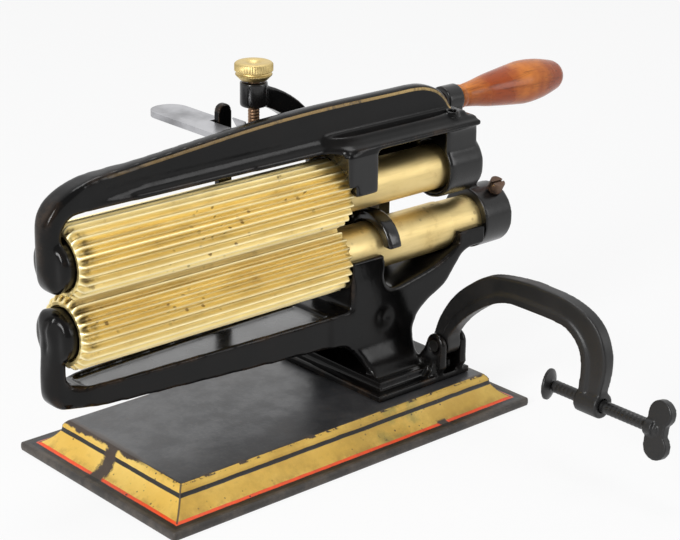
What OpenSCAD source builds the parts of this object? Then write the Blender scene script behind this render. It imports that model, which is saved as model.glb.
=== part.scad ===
// Fluting iron: two meshed, hollow brass rollers in hinged iron frames on a moulded base, with a table clamp.
// Millimetres. X runs along the rollers towards the crank, Y away from the user, Z up.
// The origin is under the middle of the base.

/* [Base] */
// Length of the base, along the rollers
base_l = 190; // [170:1:220]
// Width of the base
base_w = 102; // [96:1:120]
// Height of the base's upright outer edge
base_edge_h = 3.5; // [2.5:0.5:5]
// Width of the flat ledge round the foot of the cove
base_ledge_w = 4.8; // [3:0.2:7]
// Width of the hollow moulding
base_cove_w = 7.2; // [5:0.2:9]
// Height of the hollow moulding
base_cove_h = 6.5; // [5:0.5:9]
// Radius of the hollow moulding's curve
base_cove_r = 16; // [12:1:40]
// Height of the lip between the moulding and the deck
base_lip_h = 4; // [3:0.5:6]
// Width of the chamfer along the deck's edge
base_chamfer = 1.6; // [0.8:0.2:2.4]
// Thickness of the deck above the hollow underside
deck_t = 6; // [4:0.5:8]
// Width of the rim and of the cross ribs under the base
base_rim_w = 12; // [8:1:16]

/* [Rollers] */
// Length of the fluted barrels
barrel_l = 132; // [100:1:160]
// Radius over the flutes' crests
tip_r = 14.6; // [13.5:0.1:15]
// Depth of the flutes
flute_depth = 2.2; // [1.4:0.1:2.4]
// Number of flutes on each roller, a multiple of four
flute_count = 24; // [20:4:28]
// Gap between a crest and the groove that it enters
mesh_clear = 0.5; // [0.3:0.1:1]
// Bevel at the barrels' front ends
barrel_bevel = 2.4; // [1:0.2:2.6]
// Height of the lower roller's axis above the deck
axis_rise = 55.5; // [54:0.5:60]
// Radius of the upper roller's journal
upper_journal_r = 9.7; // [9:0.1:10.4]
// Length of the upper roller's journal
upper_journal_l = 73; // [71:0.5:76]
// Radius of the lower roller's journal
lower_journal_r = 10.5; // [10:0.1:11]
// Length of the lower roller's journal, up to its step
lower_journal_l = 61.5; // [58:0.5:62]
// Radius of the lower roller's rear journal, behind the step
rear_journal_r = 9.5; // [9:0.1:9.9]
// Radius of the bore that takes the heater
heater_bore_r = 7.6; // [6.5:0.1:8]
// Gap round a heater in its bore
heater_clear = 0.2; // [0.1:0.1:0.6]
// Depth of the recess in a roller's front end
end_recess = 4; // [3:0.5:6]
// Thickness of a roller's front wall
end_wall = 6.5; // [5:0.5:10]
// Radius of the front trunnion pins
trunnion_r = 3; // [2.5:0.1:3.5]
// Radial clearance of turning fits
run_clear = 0.05; // [0.02:0.01:0.1]
// Radial clearance of fixed pins and screws in their holes
fix_clear = 0.02; // [0.01:0.01:0.05]

/* [Lower frame] */
// Length of the foot plinth
plinth_l = 52; // [48:1:56]
// Width of the foot plinth
plinth_w = 63; // [60:1:66]
// Height of the plinth's lower step
plinth_h = 3; // [2:0.5:4]
// Width of the plinth's step
plinth_step = 4.5; // [3:0.5:6]
// Height of the plinth's upper step
plinth_top_h = 3.5; // [2.5:0.5:4.5]
// Half thickness of the pedestal at the saddles
pedestal_half = 13.2; // [12.6:0.1:14]
// Half thickness of the pedestal at the foot
pedestal_foot_half = 25; // [20:0.5:26]
// Thickness of the pedestal's walls and the arm's webs
wall = 4.5; // [3.5:0.5:5.5]
// Length of the middle saddle
saddle_l = 17.4; // [14:0.2:19]
// Length of the rear saddle
rear_saddle_l = 14.8; // [13:0.1:16]
// Depth of the arm at its root
arm_root_h = 13.6; // [11:0.2:15]
// Depth of the arm at its front end
arm_tip_h = 8.4; // [6.6:0.2:10]
// Clear height between the arm and the lower roller
arm_gap = 6; // [5:0.5:8]
// Half width of the front bearing uprights
upright_half = 5.25; // [4:0.25:6]
// Thickness of the front bearing uprights
upright_t = 7; // [6:0.5:9]
// Radius of the round bosses on the front bearings
bearing_boss_r = 10.2; // [9.4:0.1:10.4]
// Thickness of the back plate behind the journals
back_plate_t = 5.2; // [4:0.2:6]
// Gap between the lower journal and the back plate
back_gap = 1.3; // [1:0.1:2]
// Radius of the fixing screws
screw_r = 2; // [1.5:0.1:2.5]

/* [Upper frame] */
// Thickness of the web
web_t = 6; // [5:0.5:8]
// Height of the web's top above the flange's underside
web_h = 19.7; // [17:0.1:24]
// Thickness of the bottom flange
flange_t = 4; // [3:0.2:5]
// Clear height between the upper barrel and the flange
flange_gap = 4.2; // [3.4:0.2:6]
// Half width of the flange over the barrel
flange_half = 6.4; // [5.6:0.2:9]
// Half width of the flange over the bearings
flange_bearing_half = 14.5; // [13.6:0.1:15.5]
// Length of the middle bearing
cap_l = 16; // [13:0.5:18]
// Length of the rear ring
ring_l = 19.7; // [16:0.1:21]
// Outer radius of the rear ring
ring_r = 13.2; // [12.4:0.1:13.6]
// Radius of the hinge pin
hinge_r = 2.5; // [2:0.1:3]
// Radius of the oil hole over the rear ring
oil_r = 1.6; // [1:0.1:2]

/* [Lift plate and guide post] */
// Width of the lift plate
lift_w = 16; // [14:0.5:22]
// Reach of the lift plate behind the web
lift_reach = 47.5; // [38:0.5:56]
// Thickness of the lift plate
lift_t = 2.4; // [1.6:0.2:3]
// Width of the guide post
post_w = 6.4; // [5:0.2:9]
// Thickness of the guide post
post_t = 3; // [2.5:0.5:5]
// Gap between the rollers and the guide post
post_gap = 1.4; // [1:0.1:3]
// Height of the guide post above the upper roller's axis
post_rise = 41; // [38:0.5:48]
// Gap between the guide post and the notch round it
notch_clear = 1.2; // [1:0.1:2]

/* [Pressure screw] */
// Outer radius of the curved bracket
bracket_r = 52; // [50:0.5:54]
// Width of the curved bracket
bracket_w = 8.5; // [7:0.5:10]
// Thickness of the bracket
bracket_t = 7; // [6:0.5:8]
// Radius of the bracket's boss
bracket_boss_r = 5.6; // [5:0.2:7]
// Radius of the thumb screw's shank
thumb_r = 2.4; // [2:0.1:3]
// Radius of the thumb screw's head
thumb_head_r = 7.8; // [6.5:0.1:8.5]
// Height of the thumb screw's head
thumb_head_h = 7.2; // [7:0.2:11]
// Thickness of the leaf spring
leaf_t = 0.8; // [0.6:0.1:1]
// Width of the leaf spring
leaf_w = 8; // [6:0.5:10]
// Rise of the leaf spring under the screw
leaf_rise = 4.5; // [3.5:0.1:5]

/* [Crank] */
// Distance from the lower axis to the handle's axis
crank_reach = 51.9; // [44:0.1:56]
// Lean of the crank away from the user at rest, in degrees
crank_lean = 17.4; // [0:0.1:30]
// Outer radius of the crank's hub
hub_r = 13.4; // [12.4:0.1:14]
// Length of the hub
hub_l = 15.8; // [13:0.1:17]
// Width of the crank arm
crank_arm_w = 9.5; // [8:0.5:12]
// Thickness of the crank arm
crank_arm_t = 5; // [4.5:0.5:6]
// Radius of the boss that holds the spindle
spindle_boss_r = 6.2; // [5.5:0.1:8]
// Radius of the spindle
spindle_r = 3; // [2.5:0.1:3.4]
// Length of the wooden grip
grip_l = 64; // [50:0.5:70]
// Largest radius of the wooden grip
grip_r = 9.7; // [8.5:0.1:11]
// Radius of the grip's neck
grip_neck_r = 5.3; // [4.8:0.1:6]

/* [Clamp] */
// Distance of the clamp's pivot from the base's middle line
clamp_y = 28.6; // [28:0.1:29.5]
// Height of the clamp's pivot above the deck
clamp_rise = 16; // [15.5:0.1:17]
// Thickness of the clamp's inner web
clamp_web_t = 5.6; // [4.6:0.1:6.4]
// Width of the bead along the clamp's inner edge
clamp_bead_w = 7.2; // [6.6:0.1:8]
// Depth of the bead along the clamp's inner edge
clamp_bead_t = 3.4; // [2.4:0.1:4.4]
// Gap between the clamp and its ears
ear_clear = 0.4; // [0.2:0.1:0.8]
// Thickness of the clamp ears
ear_t = 3.6; // [3.4:0.1:4.4]
// Radius of the clamp's pivot pin
clamp_pin_r = 2.5; // [2:0.1:3]
// Radius of the clamp screw
clamp_screw_r = 2.7; // [2.1:0.1:3]
// Radius of the clamp's pad
pad_r = 6.4; // [5:0.2:8]
// Thickness of the clamp's pad
pad_t = 2.6; // [2.4:0.1:4]
// Radius of each lobe of the wing
wing_r = 5.4; // [4:0.2:6.4]
// Thickness of the wing
wing_t = 3.6; // [2.6:0.1:5]
// Turn of the wing at rest, in degrees
wing_turn = 9; // [0:1:90]
// Lean of the loose pad at rest, in degrees
pad_lean = 18; // [0:1:20]

/* [Hidden] */
$fn = 64;
iron = "#1b1b1d";
brass = "#c9a24d";
steel = "#8d9092";
// Overlap that makes cuts pass right through
eps = 0.01;
far = 400;

// Heights of the base
cove_z = base_edge_h + base_cove_h;
deck_z = cove_z + base_lip_h;
cove_inset = base_ledge_w + base_cove_w;

// Axes of the rollers
low_z = deck_z + axis_rise;
root_r = tip_r - flute_depth;
up_z = low_z + tip_r + root_r + mesh_clear;
upper_hole_r = upper_journal_r + run_clear;
lower_hole_r = lower_journal_r + run_clear;
rear_hole_r = rear_journal_r + run_clear;
trunnion_hole_r = trunnion_r + run_clear;
screw_hole_r = screw_r + fix_clear;

// Places along the rollers
barrel_x1 = 25.5;
barrel_x0 = barrel_x1 - barrel_l;
end_wall_x0 = barrel_x0 + end_recess;
end_wall_x1 = end_wall_x0 + end_wall;
upper_end_x = barrel_x1 + upper_journal_l;
step_x = barrel_x1 + lower_journal_l;
shoulder_gap = 0.7;
saddle_x0 = barrel_x1 + shoulder_gap;
saddle_x1 = saddle_x0 + saddle_l;
rear_saddle_x0 = step_x + 1;
rear_saddle_x1 = rear_saddle_x0 + rear_saddle_l;
ring_x1 = upper_end_x + 2.2;
ring_x0 = ring_x1 - ring_l;
hub_x0 = rear_saddle_x1 + 1;
hub_x1 = hub_x0 + hub_l;
lower_end_x = hub_x1 + 0.7;

// Front bearings
boss_gap = 0.6;
boss_in = 1.6;
boss_x1 = barrel_x0 + boss_in;
end_recess_r = bearing_boss_r + boss_gap;
upright_x1 = barrel_x0 - 2;
upright_x0 = upright_x1 - upright_t;

// Lower arm and pedestal
arm_top_z = low_z - tip_r - arm_gap;
arm_root_z = arm_top_z - arm_root_h;
arm_tip_z = arm_top_z - arm_tip_h;
flange_drop = 2;
plinth_x0 = barrel_x1;
plinth_x1 = plinth_x0 + plinth_l;
foot_z = deck_z + plinth_h;
plinth_z = foot_z + plinth_top_h;
arch_r = arm_root_z - plinth_z + 2.5;
arch_x = plinth_x0 + plinth_step + 2 - arch_r;
pedestal_x1 = plinth_x0 + 33.5;
back_y0 = lower_journal_r + back_gap;
back_y1 = back_y0 + back_plate_t;
base_screw_xs = [plinth_x0 + 10, plinth_x1 - 10];
base_screw_y = plinth_w / 2 - 10;
base_screw_depth = 5.4;
base_screw_head_r = 4;
base_screw_head_h = 2.6;
base_screw_gap = 0.6;

// Upper frame
flange_z = up_z + tip_r + flange_gap;
flange_top_z = flange_z + flange_t;
web_top_z = flange_z + web_h;
cap_x0 = barrel_x1 - 3.5;
cap_foot_z = up_z + 1;
flange_bead_h = 2.2;
flange_x1 = ring_x1 - 4;
oil_x = ring_x0 + 4;
oil_y = -8;
hinge_x = 57;
hinge_z = flange_z + flange_t / 2;
hinge_boss_r = hinge_r + 3;
hinge_gap = 0.3;
near_ear_y = back_y0 - hinge_gap;
skirt_t = 2.5;
far_ear_y0 = back_y1 + hinge_gap;
far_ear_y1 = far_ear_y0 + 3.2;

// Guide post and lift plate
post_x1 = -13.6;
post_x0 = post_x1 - post_w;
post_y0 = tip_r + post_gap;
post_y1 = post_y0 + post_t;
post_foot_z = arm_root_z + 1;
post_screw_zs = [arm_top_z - 8.5, arm_top_z - 3];
post_screw_depth = 4.2;
lift_x1 = post_x0 + 4.6;
lift_x0 = lift_x1 - lift_w;
lift_z = flange_top_z + 8.9;
lift_screw_xs = [lift_x0 + 3.6, lift_x1 - 3.6];
lift_screw_z = lift_z - 4.5;

// Pressure bracket, thumb screw and leaf spring
bracket_y0 = back_y1;
bracket_y1 = bracket_y0 + bracket_t;
thumb_y = (bracket_y0 + bracket_y1) / 2;
bracket_c = [-10.2, up_z - 5.2];
bracket_mid_r = bracket_r - bracket_w / 2;
thumb_x = bracket_c[0] + 11.6;
thumb_hole_r = thumb_r + run_clear;
boss_mid_z = bracket_c[1] + sqrt(pow(bracket_mid_r, 2) - pow(11.6, 2));
thumb_boss_h = 10;
boss_top_z = boss_mid_z + thumb_boss_h / 2;
thumb_seat_z = boss_top_z + 0.8;
thumb_tip_z = flange_top_z + leaf_rise;
bracket_screws_at = [[44, up_z - 29], [56, up_z - 21]];
ledge_x0 = thumb_x - 9.4;
ledge_x1 = thumb_x + 13.6;
leaf_screw_x = ledge_x1 - 4;
leaf_screw_r = 1.6;

// Journal hook
hook_x0 = 45;
hook_w = 6.6;
hook_in_r = lower_journal_r + 0.4;
hook_out_r = hook_in_r + 4.2;
hook_foot_z0 = low_z + lower_journal_r + 0.4;
hook_foot_z1 = up_z - upper_journal_r - 0.8;
hook_screw_xs = [hook_x0 - 5, hook_x0 + hook_w + 5];
hook_screw_r = 1.6;

// Crank
crank_y = crank_reach * sin(crank_lean);
crank_z = low_z + crank_reach * cos(crank_lean);
crank_arm_x0 = hub_x0 + 0.7;
crank_arm_x1 = crank_arm_x0 + crank_arm_t;
spindle_boss_x0 = crank_arm_x0 - 2.8;
spindle_boss_x1 = crank_arm_x1 + 1.2;
grip_gap = 0.3;
grip_x0 = spindle_boss_x1 + grip_gap;
grip_x1 = grip_x0 + grip_l;
grip_sink_x = grip_x1 - 1.6;
spindle_head_r = spindle_r + 1;
set_screw_lean = 28;

// Clamp, in the plane of its swing: out from the pivot, then up
ear_gap = clamp_bead_w + 2 * ear_clear;
ear_x1 = plinth_x1 - 3.9;
clamp_x = ear_x1 - ear_t - ear_gap / 2;
pivot_y = -clamp_y;
pivot_z = deck_z + clamp_rise;
ear_r = 5.2;
clamp_axis = 0.4;
clamp_boss_r = 5.3;
clamp_boss_l = 11.4;
clamp_boss_mid = 81;
pad_out = 59;
pad_neck_r = 1.6;
pad_neck_in = 0.3;
pad_seat = 2.6;
wing_out = 114.7;
lobe_out = 6.6;
clamp_outer = [
    [-5.2, 2.5], [-1.8, 11.7], [4.9, 21.9], [13.9, 30.2], [25.6, 37.2], [44, 40.3], [57.4, 40.3],
    [68.2, 39.3], [78.2, 35.9], [84.7, 30], [88.2, 20.6], [87.7, 11.5], [85.6, 3]
];
clamp_inner = [
    [75.8, 3], [76.5, 11.6], [76.2, 18.2], [74.2, 23], [69.9, 26.9], [63.6, 28.9], [44, 29.4], [35, 28.6],
    [27, 25.4], [19, 20.2], [11, 13.2], [5.2, 5.5], [5, 1]
];

// A smooth curve through the given points, with the given number of steps between two of them
function curve_point(a, b, c, d, t) =
    0.5 * (2 * b + (c - a) * t + (2 * a - 5 * b + 4 * c - d) * t * t + (3 * b - a - 3 * c + d) * t * t * t);
function curve(pts, steps = 6) =
    let (n = len(pts) - 1)
    concat(
        [for (i = [0:n - 1]) for (k = [0:steps - 1])
            curve_point(pts[max(i - 1, 0)], pts[i], pts[i + 1], pts[min(i + 2, n)], k / steps)],
        [pts[n]]
    );
function arc(c, r, a0, a1, steps = 12) =
    [for (k = [0:steps]) let (a = a0 + (a1 - a0) * k / steps) [c[0] + r * cos(a), c[1] + r * sin(a)]];
function reversed(pts) = [for (i = [len(pts) - 1:-1:0]) pts[i]];
function unit(v) = v / norm(v);
// The curve moved sideways, to its right
function beside(pts, d) =
    let (n = len(pts) - 1)
    [for (i = [0:n])
        let (t = unit(pts[min(i + 1, n)] - pts[max(i - 1, 0)])) pts[i] + d * [t[1], -t[0]]];

// Outlines drawn in X and Z, and given a thickness along Y
module side_plate(y0, y1) {
    translate([0, y1, 0]) rotate([90, 0, 0]) linear_extrude(y1 - y0) children();
}
// Outlines drawn in Y and Z, and given a thickness along X
module end_plate(x0, x1) {
    translate([x0, 0, 0]) rotate([90, 0, 90]) linear_extrude(x1 - x0) children();
}
module plan_plate(z0, z1) {
    translate([0, 0, z0]) linear_extrude(z1 - z0) children();
}
module block(x, y, z) {
    translate([x[0], y[0], z[0]]) cube([x[1] - x[0], y[1] - y[0], z[1] - z[0]]);
}
module rod_x(x0, x1, r, y = 0, z = 0) {
    translate([x0, y, z]) rotate([0, 90, 0]) cylinder(r = r, h = x1 - x0);
}
module rod_y(y0, y1, r, x = 0, z = 0) {
    translate([x, y1, z]) rotate([90, 0, 0]) cylinder(r = r, h = y1 - y0);
}
module rod_z(z0, z1, r, x = 0, y = 0) {
    translate([x, y, z0]) cylinder(r = r, h = z1 - z0);
}
// A turned shape: radius against the distance along X
module turned_x(x0, y, z) {
    translate([x0, y, z]) rotate([0, 90, 0]) rotate_extrude() children();
}

// Half section of the base, mitred round its four sides
module base_section(size) {
    half = size / 2;
    foot = half - base_ledge_w;
    head = half - cove_inset;
    chord = norm([base_cove_w, base_cove_h]);
    reach = sqrt(pow(base_cove_r, 2) - pow(chord / 2, 2));
    cove = [
        (foot + head) / 2 + reach * base_cove_h / chord,
        (base_edge_h + cove_z) / 2 + reach * base_cove_w / chord
    ];
    translate([-half, 0]) square([size, base_edge_h]);
    difference() {
        translate([-foot, 0]) square([2 * foot, cove_z]);
        for (side = [-1, 1]) translate([side * cove[0], cove[1]]) circle(r = base_cove_r);
    }
    polygon([
        [-head, cove_z - eps], [head, cove_z - eps], [head - 0.4, deck_z - base_chamfer],
        [head - 0.4 - base_chamfer, deck_z], [base_chamfer + 0.4 - head, deck_z],
        [0.4 - head, deck_z - base_chamfer]
    ]);
}
module base() {
    pocket_x = base_l / 2 - cove_inset - base_rim_w / 2;
    pocket_y = base_w / 2 - cove_inset - base_rim_w / 2;
    color(iron) difference() {
        intersection() {
            side_plate(-base_w, base_w) base_section(base_l);
            end_plate(-base_l, base_l) base_section(base_w);
        }
        for (sx = [-1, 1], sy = [-1, 1]) {
            x = [base_rim_w / 2, pocket_x];
            y = [base_rim_w / 2, pocket_y];
            block(
                sx > 0 ? x : [-x[1], -x[0]], sy > 0 ? y : [-y[1], -y[0]], [-eps, deck_z - deck_t]
            );
        }
        base_screw_places() rod_z(0, deck_z + eps, screw_hole_r);
        base_screw_places() rod_z(-eps, deck_z - deck_t, base_screw_head_r + base_screw_gap);
    }
}
module base_screw_places() {
    for (x = base_screw_xs, side = [-1, 1]) translate([x, side * base_screw_y, 0]) children();
}
module base_screws() {
    head_z = deck_z - deck_t;
    color(steel) base_screw_places() difference() {
        union() {
            rod_z(head_z - base_screw_head_h, head_z, base_screw_head_r);
            rod_z(head_z - eps, deck_z + base_screw_depth - 1, screw_r);
        }
        translate([-base_screw_head_r, -0.5, head_z - base_screw_head_h - eps])
            cube([2 * base_screw_head_r, 1, 1]);
    }
}

// Side view of the lower arm with its front upright
module lower_arm_side() {
    inner = 6;
    x = upright_x0;
    top = low_z + bearing_boss_r - 0.4;
    polygon(concat(
        curve([
            [upright_x1, top - 4], [upright_x1 - 1.4, top - 0.8], [x + 3.4, top], [x + 1.2, top - 1.8],
            [x + 0.7, low_z + 4.4], [x + 2, low_z - 3], [x + 1.4, low_z - 9.4], [x + 0.2, low_z - 16],
            [x + 0.2, arm_top_z - 0.4], [x + 1.7, arm_top_z - 4.6], [x + 5, arm_tip_z + 0.9],
            [x + 10, arm_tip_z]
        ]),
        [[barrel_x1 - 12, arm_root_z], [saddle_x1, arm_root_z], [saddle_x1, arm_top_z]],
        arc([upright_x1 + inner, arm_top_z + inner], inner, 270, 180)
    ));
}
// Rounded front of an upright, in plan, on one side of its middle line
function round_end(half, depth = 4.6) =
    [for (k = [1:8]) let (a = 180 - k * 90 / 8) [upright_x0 + depth * (1 + cos(a)), half * sin(a)]];
// Plan of the lower arm, drawn in by the given amount
module lower_arm_plan(inset) {
    front = max(upright_half - inset, 0.5);
    back = pedestal_half - inset;
    rise = back - front;
    x1 = upright_x1 + 2;
    mid = (x1 + barrel_x1) / 2;
    side = concat(
        round_end(front),
        curve([
            [x1, front], [x1 + 13, front + 0.4 * rise], [mid - 14, front + 0.66 * rise],
            [mid + 20, front + 0.84 * rise], [barrel_x1 - 14, front + 0.96 * rise], [barrel_x1 + 6, back]
        ]),
        [[saddle_x1, back]]
    );
    polygon(concat([for (p = side) [p[0], -p[1]]], reversed(side)));
}
module lower_arm() {
    tray_x0 = upright_x1 + 8;
    difference() {
        intersection() {
            side_plate(-far, far) lower_arm_side();
            plan_plate(0, far) lower_arm_plan(0);
        }
        intersection() {
            plan_plate(0, arm_top_z - flange_drop - flange_t) lower_arm_plan(wall);
            block([tray_x0, far], [-far, far], [0, far]);
        }
        intersection() {
            plan_plate(arm_top_z - flange_drop, far) lower_arm_plan(2.4);
            block([tray_x0, barrel_x1 - 3], [-far, far], [0, far]);
        }
    }
}
// Side view of the pedestal, from the arch at its foot to the corbel under the rear saddle
module pedestal_side() {
    dip_z = low_z - 16;
    polygon(concat(
        [[plinth_x0 + plinth_step + 2, plinth_z - 1]],
        arc([arch_x, plinth_z - 2.5], arch_r, 12, 90),
        [[arch_x, arm_top_z], [saddle_x0, arm_top_z], [saddle_x0, low_z], [saddle_x1, low_z]],
        curve([
            [saddle_x1 + 1, dip_z + 4], [saddle_x1 + 6, dip_z], [saddle_x1 + 18, dip_z + 1.6],
            [rear_saddle_x0 - 14, dip_z + 4.4], [rear_saddle_x0 - 5, dip_z + 8], [rear_saddle_x0, dip_z + 11]
        ]),
        [[rear_saddle_x0, low_z], [rear_saddle_x1, low_z]],
        curve([
            [rear_saddle_x1, low_z - 8], [rear_saddle_x0 + 4, low_z - 8.8],
            [rear_saddle_x0 - 2.4, low_z - 15], [rear_saddle_x0 - 8.2, low_z - 21.5],
            [rear_saddle_x0 - 18.2, low_z - 26.5],
            [pedestal_x1 + 4, low_z - 32], [pedestal_x1 + 0.8, low_z - 40], [pedestal_x1 + 0.2, plinth_z - 1]
        ])
    ));
}
// End view of the pedestal, drawn in by the given amount
module pedestal_end(inset) {
    top = pedestal_half - inset;
    foot = pedestal_foot_half - inset;
    right = curve([
        [top, arm_top_z], [top + 0.8, arm_root_z], [top + 2.4, plinth_z + 9], [top + 5.6, plinth_z + 3.6],
        [foot, plinth_z - 1]
    ]);
    left = [for (p = reversed(right)) [-p[0], p[1]]];
    polygon(concat([[top, low_z + 1]], right, left, [[-top, low_z + 1]]));
}
module pedestal() {
    difference() {
        intersection() {
            side_plate(-far, far) pedestal_side();
            end_plate(-far, far) pedestal_end(0);
        }
        intersection() {
            end_plate(0, pedestal_x1 - 5) pedestal_end(5.5);
            block([0, far], [-far, far], [plinth_z, arm_root_z + 6]);
        }
    }
}
// The plate behind the journals, which carries the hinge pin
module back_plate() {
    x0 = pedestal_x1 - 22;
    x1 = pedestal_x1 + 11;
    side_plate(back_y0, back_y1) polygon(concat(
        [[x0 + 8, foot_z], [x0 + 4, arm_root_z], [x0, low_z - 8], [x0, up_z + 9]],
        [[x0 + 4, up_z + 14], [hinge_x - hinge_boss_r - 1, up_z + 15]],
        arc([hinge_x, hinge_z], hinge_boss_r + 1, 180, 0),
        [[hinge_x + hinge_boss_r + 1, up_z + 6], [x1, low_z + 20], [x1, low_z], [x1 - 8, foot_z]]
    ));
}
module clamp_ear(x0) {
    end_plate(x0, x0 + ear_t) polygon(concat(
        arc([pivot_y, pivot_z], ear_r, 0, 180),
        [[pivot_y - ear_r, foot_z + 4], [-plinth_w / 2 + 1, foot_z - 1], [pivot_y + 12, foot_z - 1]]
    ));
}
// A short rib from the plinth up the outer side of an ear
module ear_rib(x, reach) {
    side_plate(1.5 - plinth_w / 2, pivot_y + 8) polygon([
        [x - sign(reach), foot_z - 1], [x + reach, foot_z - 1], [x + 0.35 * reach, foot_z + 2.4],
        [x, pivot_z - clamp_pin_r - 1.5], [x - sign(reach), pivot_z - clamp_pin_r - 1.5]
    ]);
}
module lower_frame() {
    tier = plinth_step;
    color(iron) difference() {
        union() {
            block([plinth_x0, plinth_x1], [-plinth_w / 2, plinth_w / 2], [deck_z, foot_z]);
            block(
                [plinth_x0 + tier, plinth_x1 - tier], [tier - plinth_w / 2, plinth_w / 2 - tier],
                [foot_z - eps, plinth_z]
            );
            lower_arm();
            pedestal();
            back_plate();
            rod_x(upright_x0 + 3.6, boss_x1, bearing_boss_r, 0, low_z);
            block(
                [post_x0 - 1, post_x1 + 1], [post_y0 - post_screw_depth - 1.6, post_y0],
                [post_foot_z, arm_top_z]
            );
            for (x = [ear_x1 - ear_t, ear_x1 - 2 * ear_t - ear_gap]) clamp_ear(x);
            ear_rib(ear_x1 - 2 * ear_t - ear_gap, -5.5);
            ear_rib(ear_x1, 2.8);
        }
        rod_x(saddle_x0 - 1, step_x + 1, lower_hole_r, 0, low_z);
        rod_x(saddle_x1, rear_saddle_x0, lower_hole_r + 1, 0, low_z);
        rod_x(step_x, rear_saddle_x1 + 1, rear_hole_r, 0, low_z);
        rod_x(upright_x0 + 4, boss_x1 + 1, trunnion_hole_r, 0, low_z);
        rod_y(back_y0 - 1, back_y1 + 1, hinge_r + fix_clear, hinge_x, hinge_z);
        rod_x(plinth_x0, plinth_x1 + 1, clamp_pin_r + fix_clear, pivot_y, pivot_z);
        base_screw_places() rod_z(deck_z - 1, deck_z + base_screw_depth, screw_hole_r);
        for (z = post_screw_zs)
            rod_y(post_y0 - post_screw_depth - 0.3, post_y0 + 1, screw_hole_r, (post_x0 + post_x1) / 2, z);
        for (at = bracket_screws_at) rod_y(back_y1 - 4, back_y1 + 1, screw_hole_r, at[0], at[1]);
        for (x = hook_screw_xs)
            rod_y(back_y0 - 1, back_y0 + 4, hook_screw_r + fix_clear, x, (hook_foot_z0 + hook_foot_z1) / 2);
    }
}

// The hook over the lower journal, with the foot that it is screwed on by
module journal_hook() {
    color(iron) difference() {
        union() {
            end_plate(hook_x0, hook_x0 + hook_w) difference() {
                translate([0, low_z]) circle(r = hook_out_r);
                translate([0, low_z]) circle(r = hook_in_r);
                translate([-far, low_z + 2.4 - far]) square([2 * far, far]);
                translate([back_y0, 0]) square(far);
            }
            block(
                [hook_x0 - 9, hook_x0 + hook_w + 9], [back_y0 - 3, back_y0], [hook_foot_z0, hook_foot_z1]
            );
        }
        rod_x(0, far, hook_in_r, 0, low_z);
        for (x = hook_screw_xs)
            rod_y(0, back_y0 + 1, hook_screw_r + fix_clear, x, (hook_foot_z0 + hook_foot_z1) / 2);
    }
}
module hook_screws() {
    z = (hook_foot_z0 + hook_foot_z1) / 2;
    color(steel) for (x = hook_screw_xs) {
        rod_y(back_y0 - 4.4, back_y0 - 3, hook_screw_r + 1, x, z);
        rod_y(back_y0 - 3 - eps, back_y0 + 3.5, hook_screw_r, x, z);
    }
}

module guide_post() {
    r = post_w / 2;
    x = (post_x0 + post_x1) / 2;
    color(iron) difference() {
        side_plate(post_y0, post_y1) union() {
            translate([post_x0, post_foot_z]) square([post_w, up_z + post_rise - r - post_foot_z]);
            translate([x, up_z + post_rise - r]) circle(r = r);
        }
        for (z = post_screw_zs) rod_y(post_y0 - 1, post_y1 + 1, screw_hole_r, x, z);
    }
}
// A round-headed screw along Y, with its head at the back
module back_screw(y, depth, length, r, head_r, head_h) {
    difference() {
        union() {
            rod_y(y - length, y + eps, r);
            rod_y(y, y + head_h, head_r);
        }
        translate([-head_r, y + head_h - depth, -0.4]) cube([2 * head_r, 2 * depth, 0.8]);
    }
}
module guide_post_screws() {
    color(steel) for (z = post_screw_zs)
        translate([(post_x0 + post_x1) / 2, 0, z])
            back_screw(post_y1, 0.8, post_t + post_screw_depth, screw_r, 2.6, 1.6);
}

// Side view of the web and the front upright of the upper frame
module upper_web_side() {
    polygon(concat(
        [[upright_x1, flange_z + 1]],
        curve([
            [upright_x1 + 6, web_top_z - 10.6], [upright_x1 + 13.5, web_top_z - 8.2],
            [upright_x1 + 23.5, web_top_z - 7.2], [upright_x1 + 38.5, web_top_z - 6.3],
            [barrel_x1 - 70, web_top_z - 4.2], [barrel_x1 - 40, web_top_z - 1.8],
            [barrel_x1 - 9, web_top_z - 0.6], [ring_x0 - 24, web_top_z - 0.6],
            [ring_x0 - 14, web_top_z - 0.6], [ring_x0 - 6.5, web_top_z - 1.4],
            [ring_x0 + 0.5, web_top_z - 4], [ring_x0 + 5.5, web_top_z - 8],
            [ring_x0 + 8.2, web_top_z - 12.3], [ring_x0 + 9, flange_top_z]
        ]),
        [[ring_x0 + 9, flange_z + 1]]
    ));
}
module upper_upright_side() {
    polygon(concat(
        [[upright_x1 + 14, flange_z], [upright_x1 + 14, flange_top_z + 7.2]],
        curve([
            [upright_x1 + 12, flange_top_z + 7], [upright_x1 + 5, flange_top_z + 4.8],
            [upright_x1 - 0.5, flange_top_z + 1.6], [upright_x0 + 2.9, flange_z + 1.6],
            [upright_x0 + 0.7, flange_z - 3], [upright_x0, up_z + 9], [upright_x0, up_z + 2],
            [upright_x0 + 0.6, up_z - 3.4], [upright_x0 + 2.4, up_z - 8], [upright_x0 + 5, up_z - 10.4],
            [upright_x1 - 0.6, up_z - 9.4], [upright_x1, up_z - 6]
        ]),
        arc([upright_x1 + 8, flange_z - 8], 8, 180, 90)
    ));
}
// Plan of the web, thicker towards the front upright
module web_plan() {
    side = concat(
        round_end(upright_half),
        curve([
            [upright_x1, upright_half], [upright_x1 + 14, upright_half - 0.6], [upright_x1 + 40, web_t / 2]
        ]),
        [[ring_x1, web_t / 2]]
    );
    polygon(concat([for (p = side) [p[0], -p[1]]], reversed(side)));
}
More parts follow.
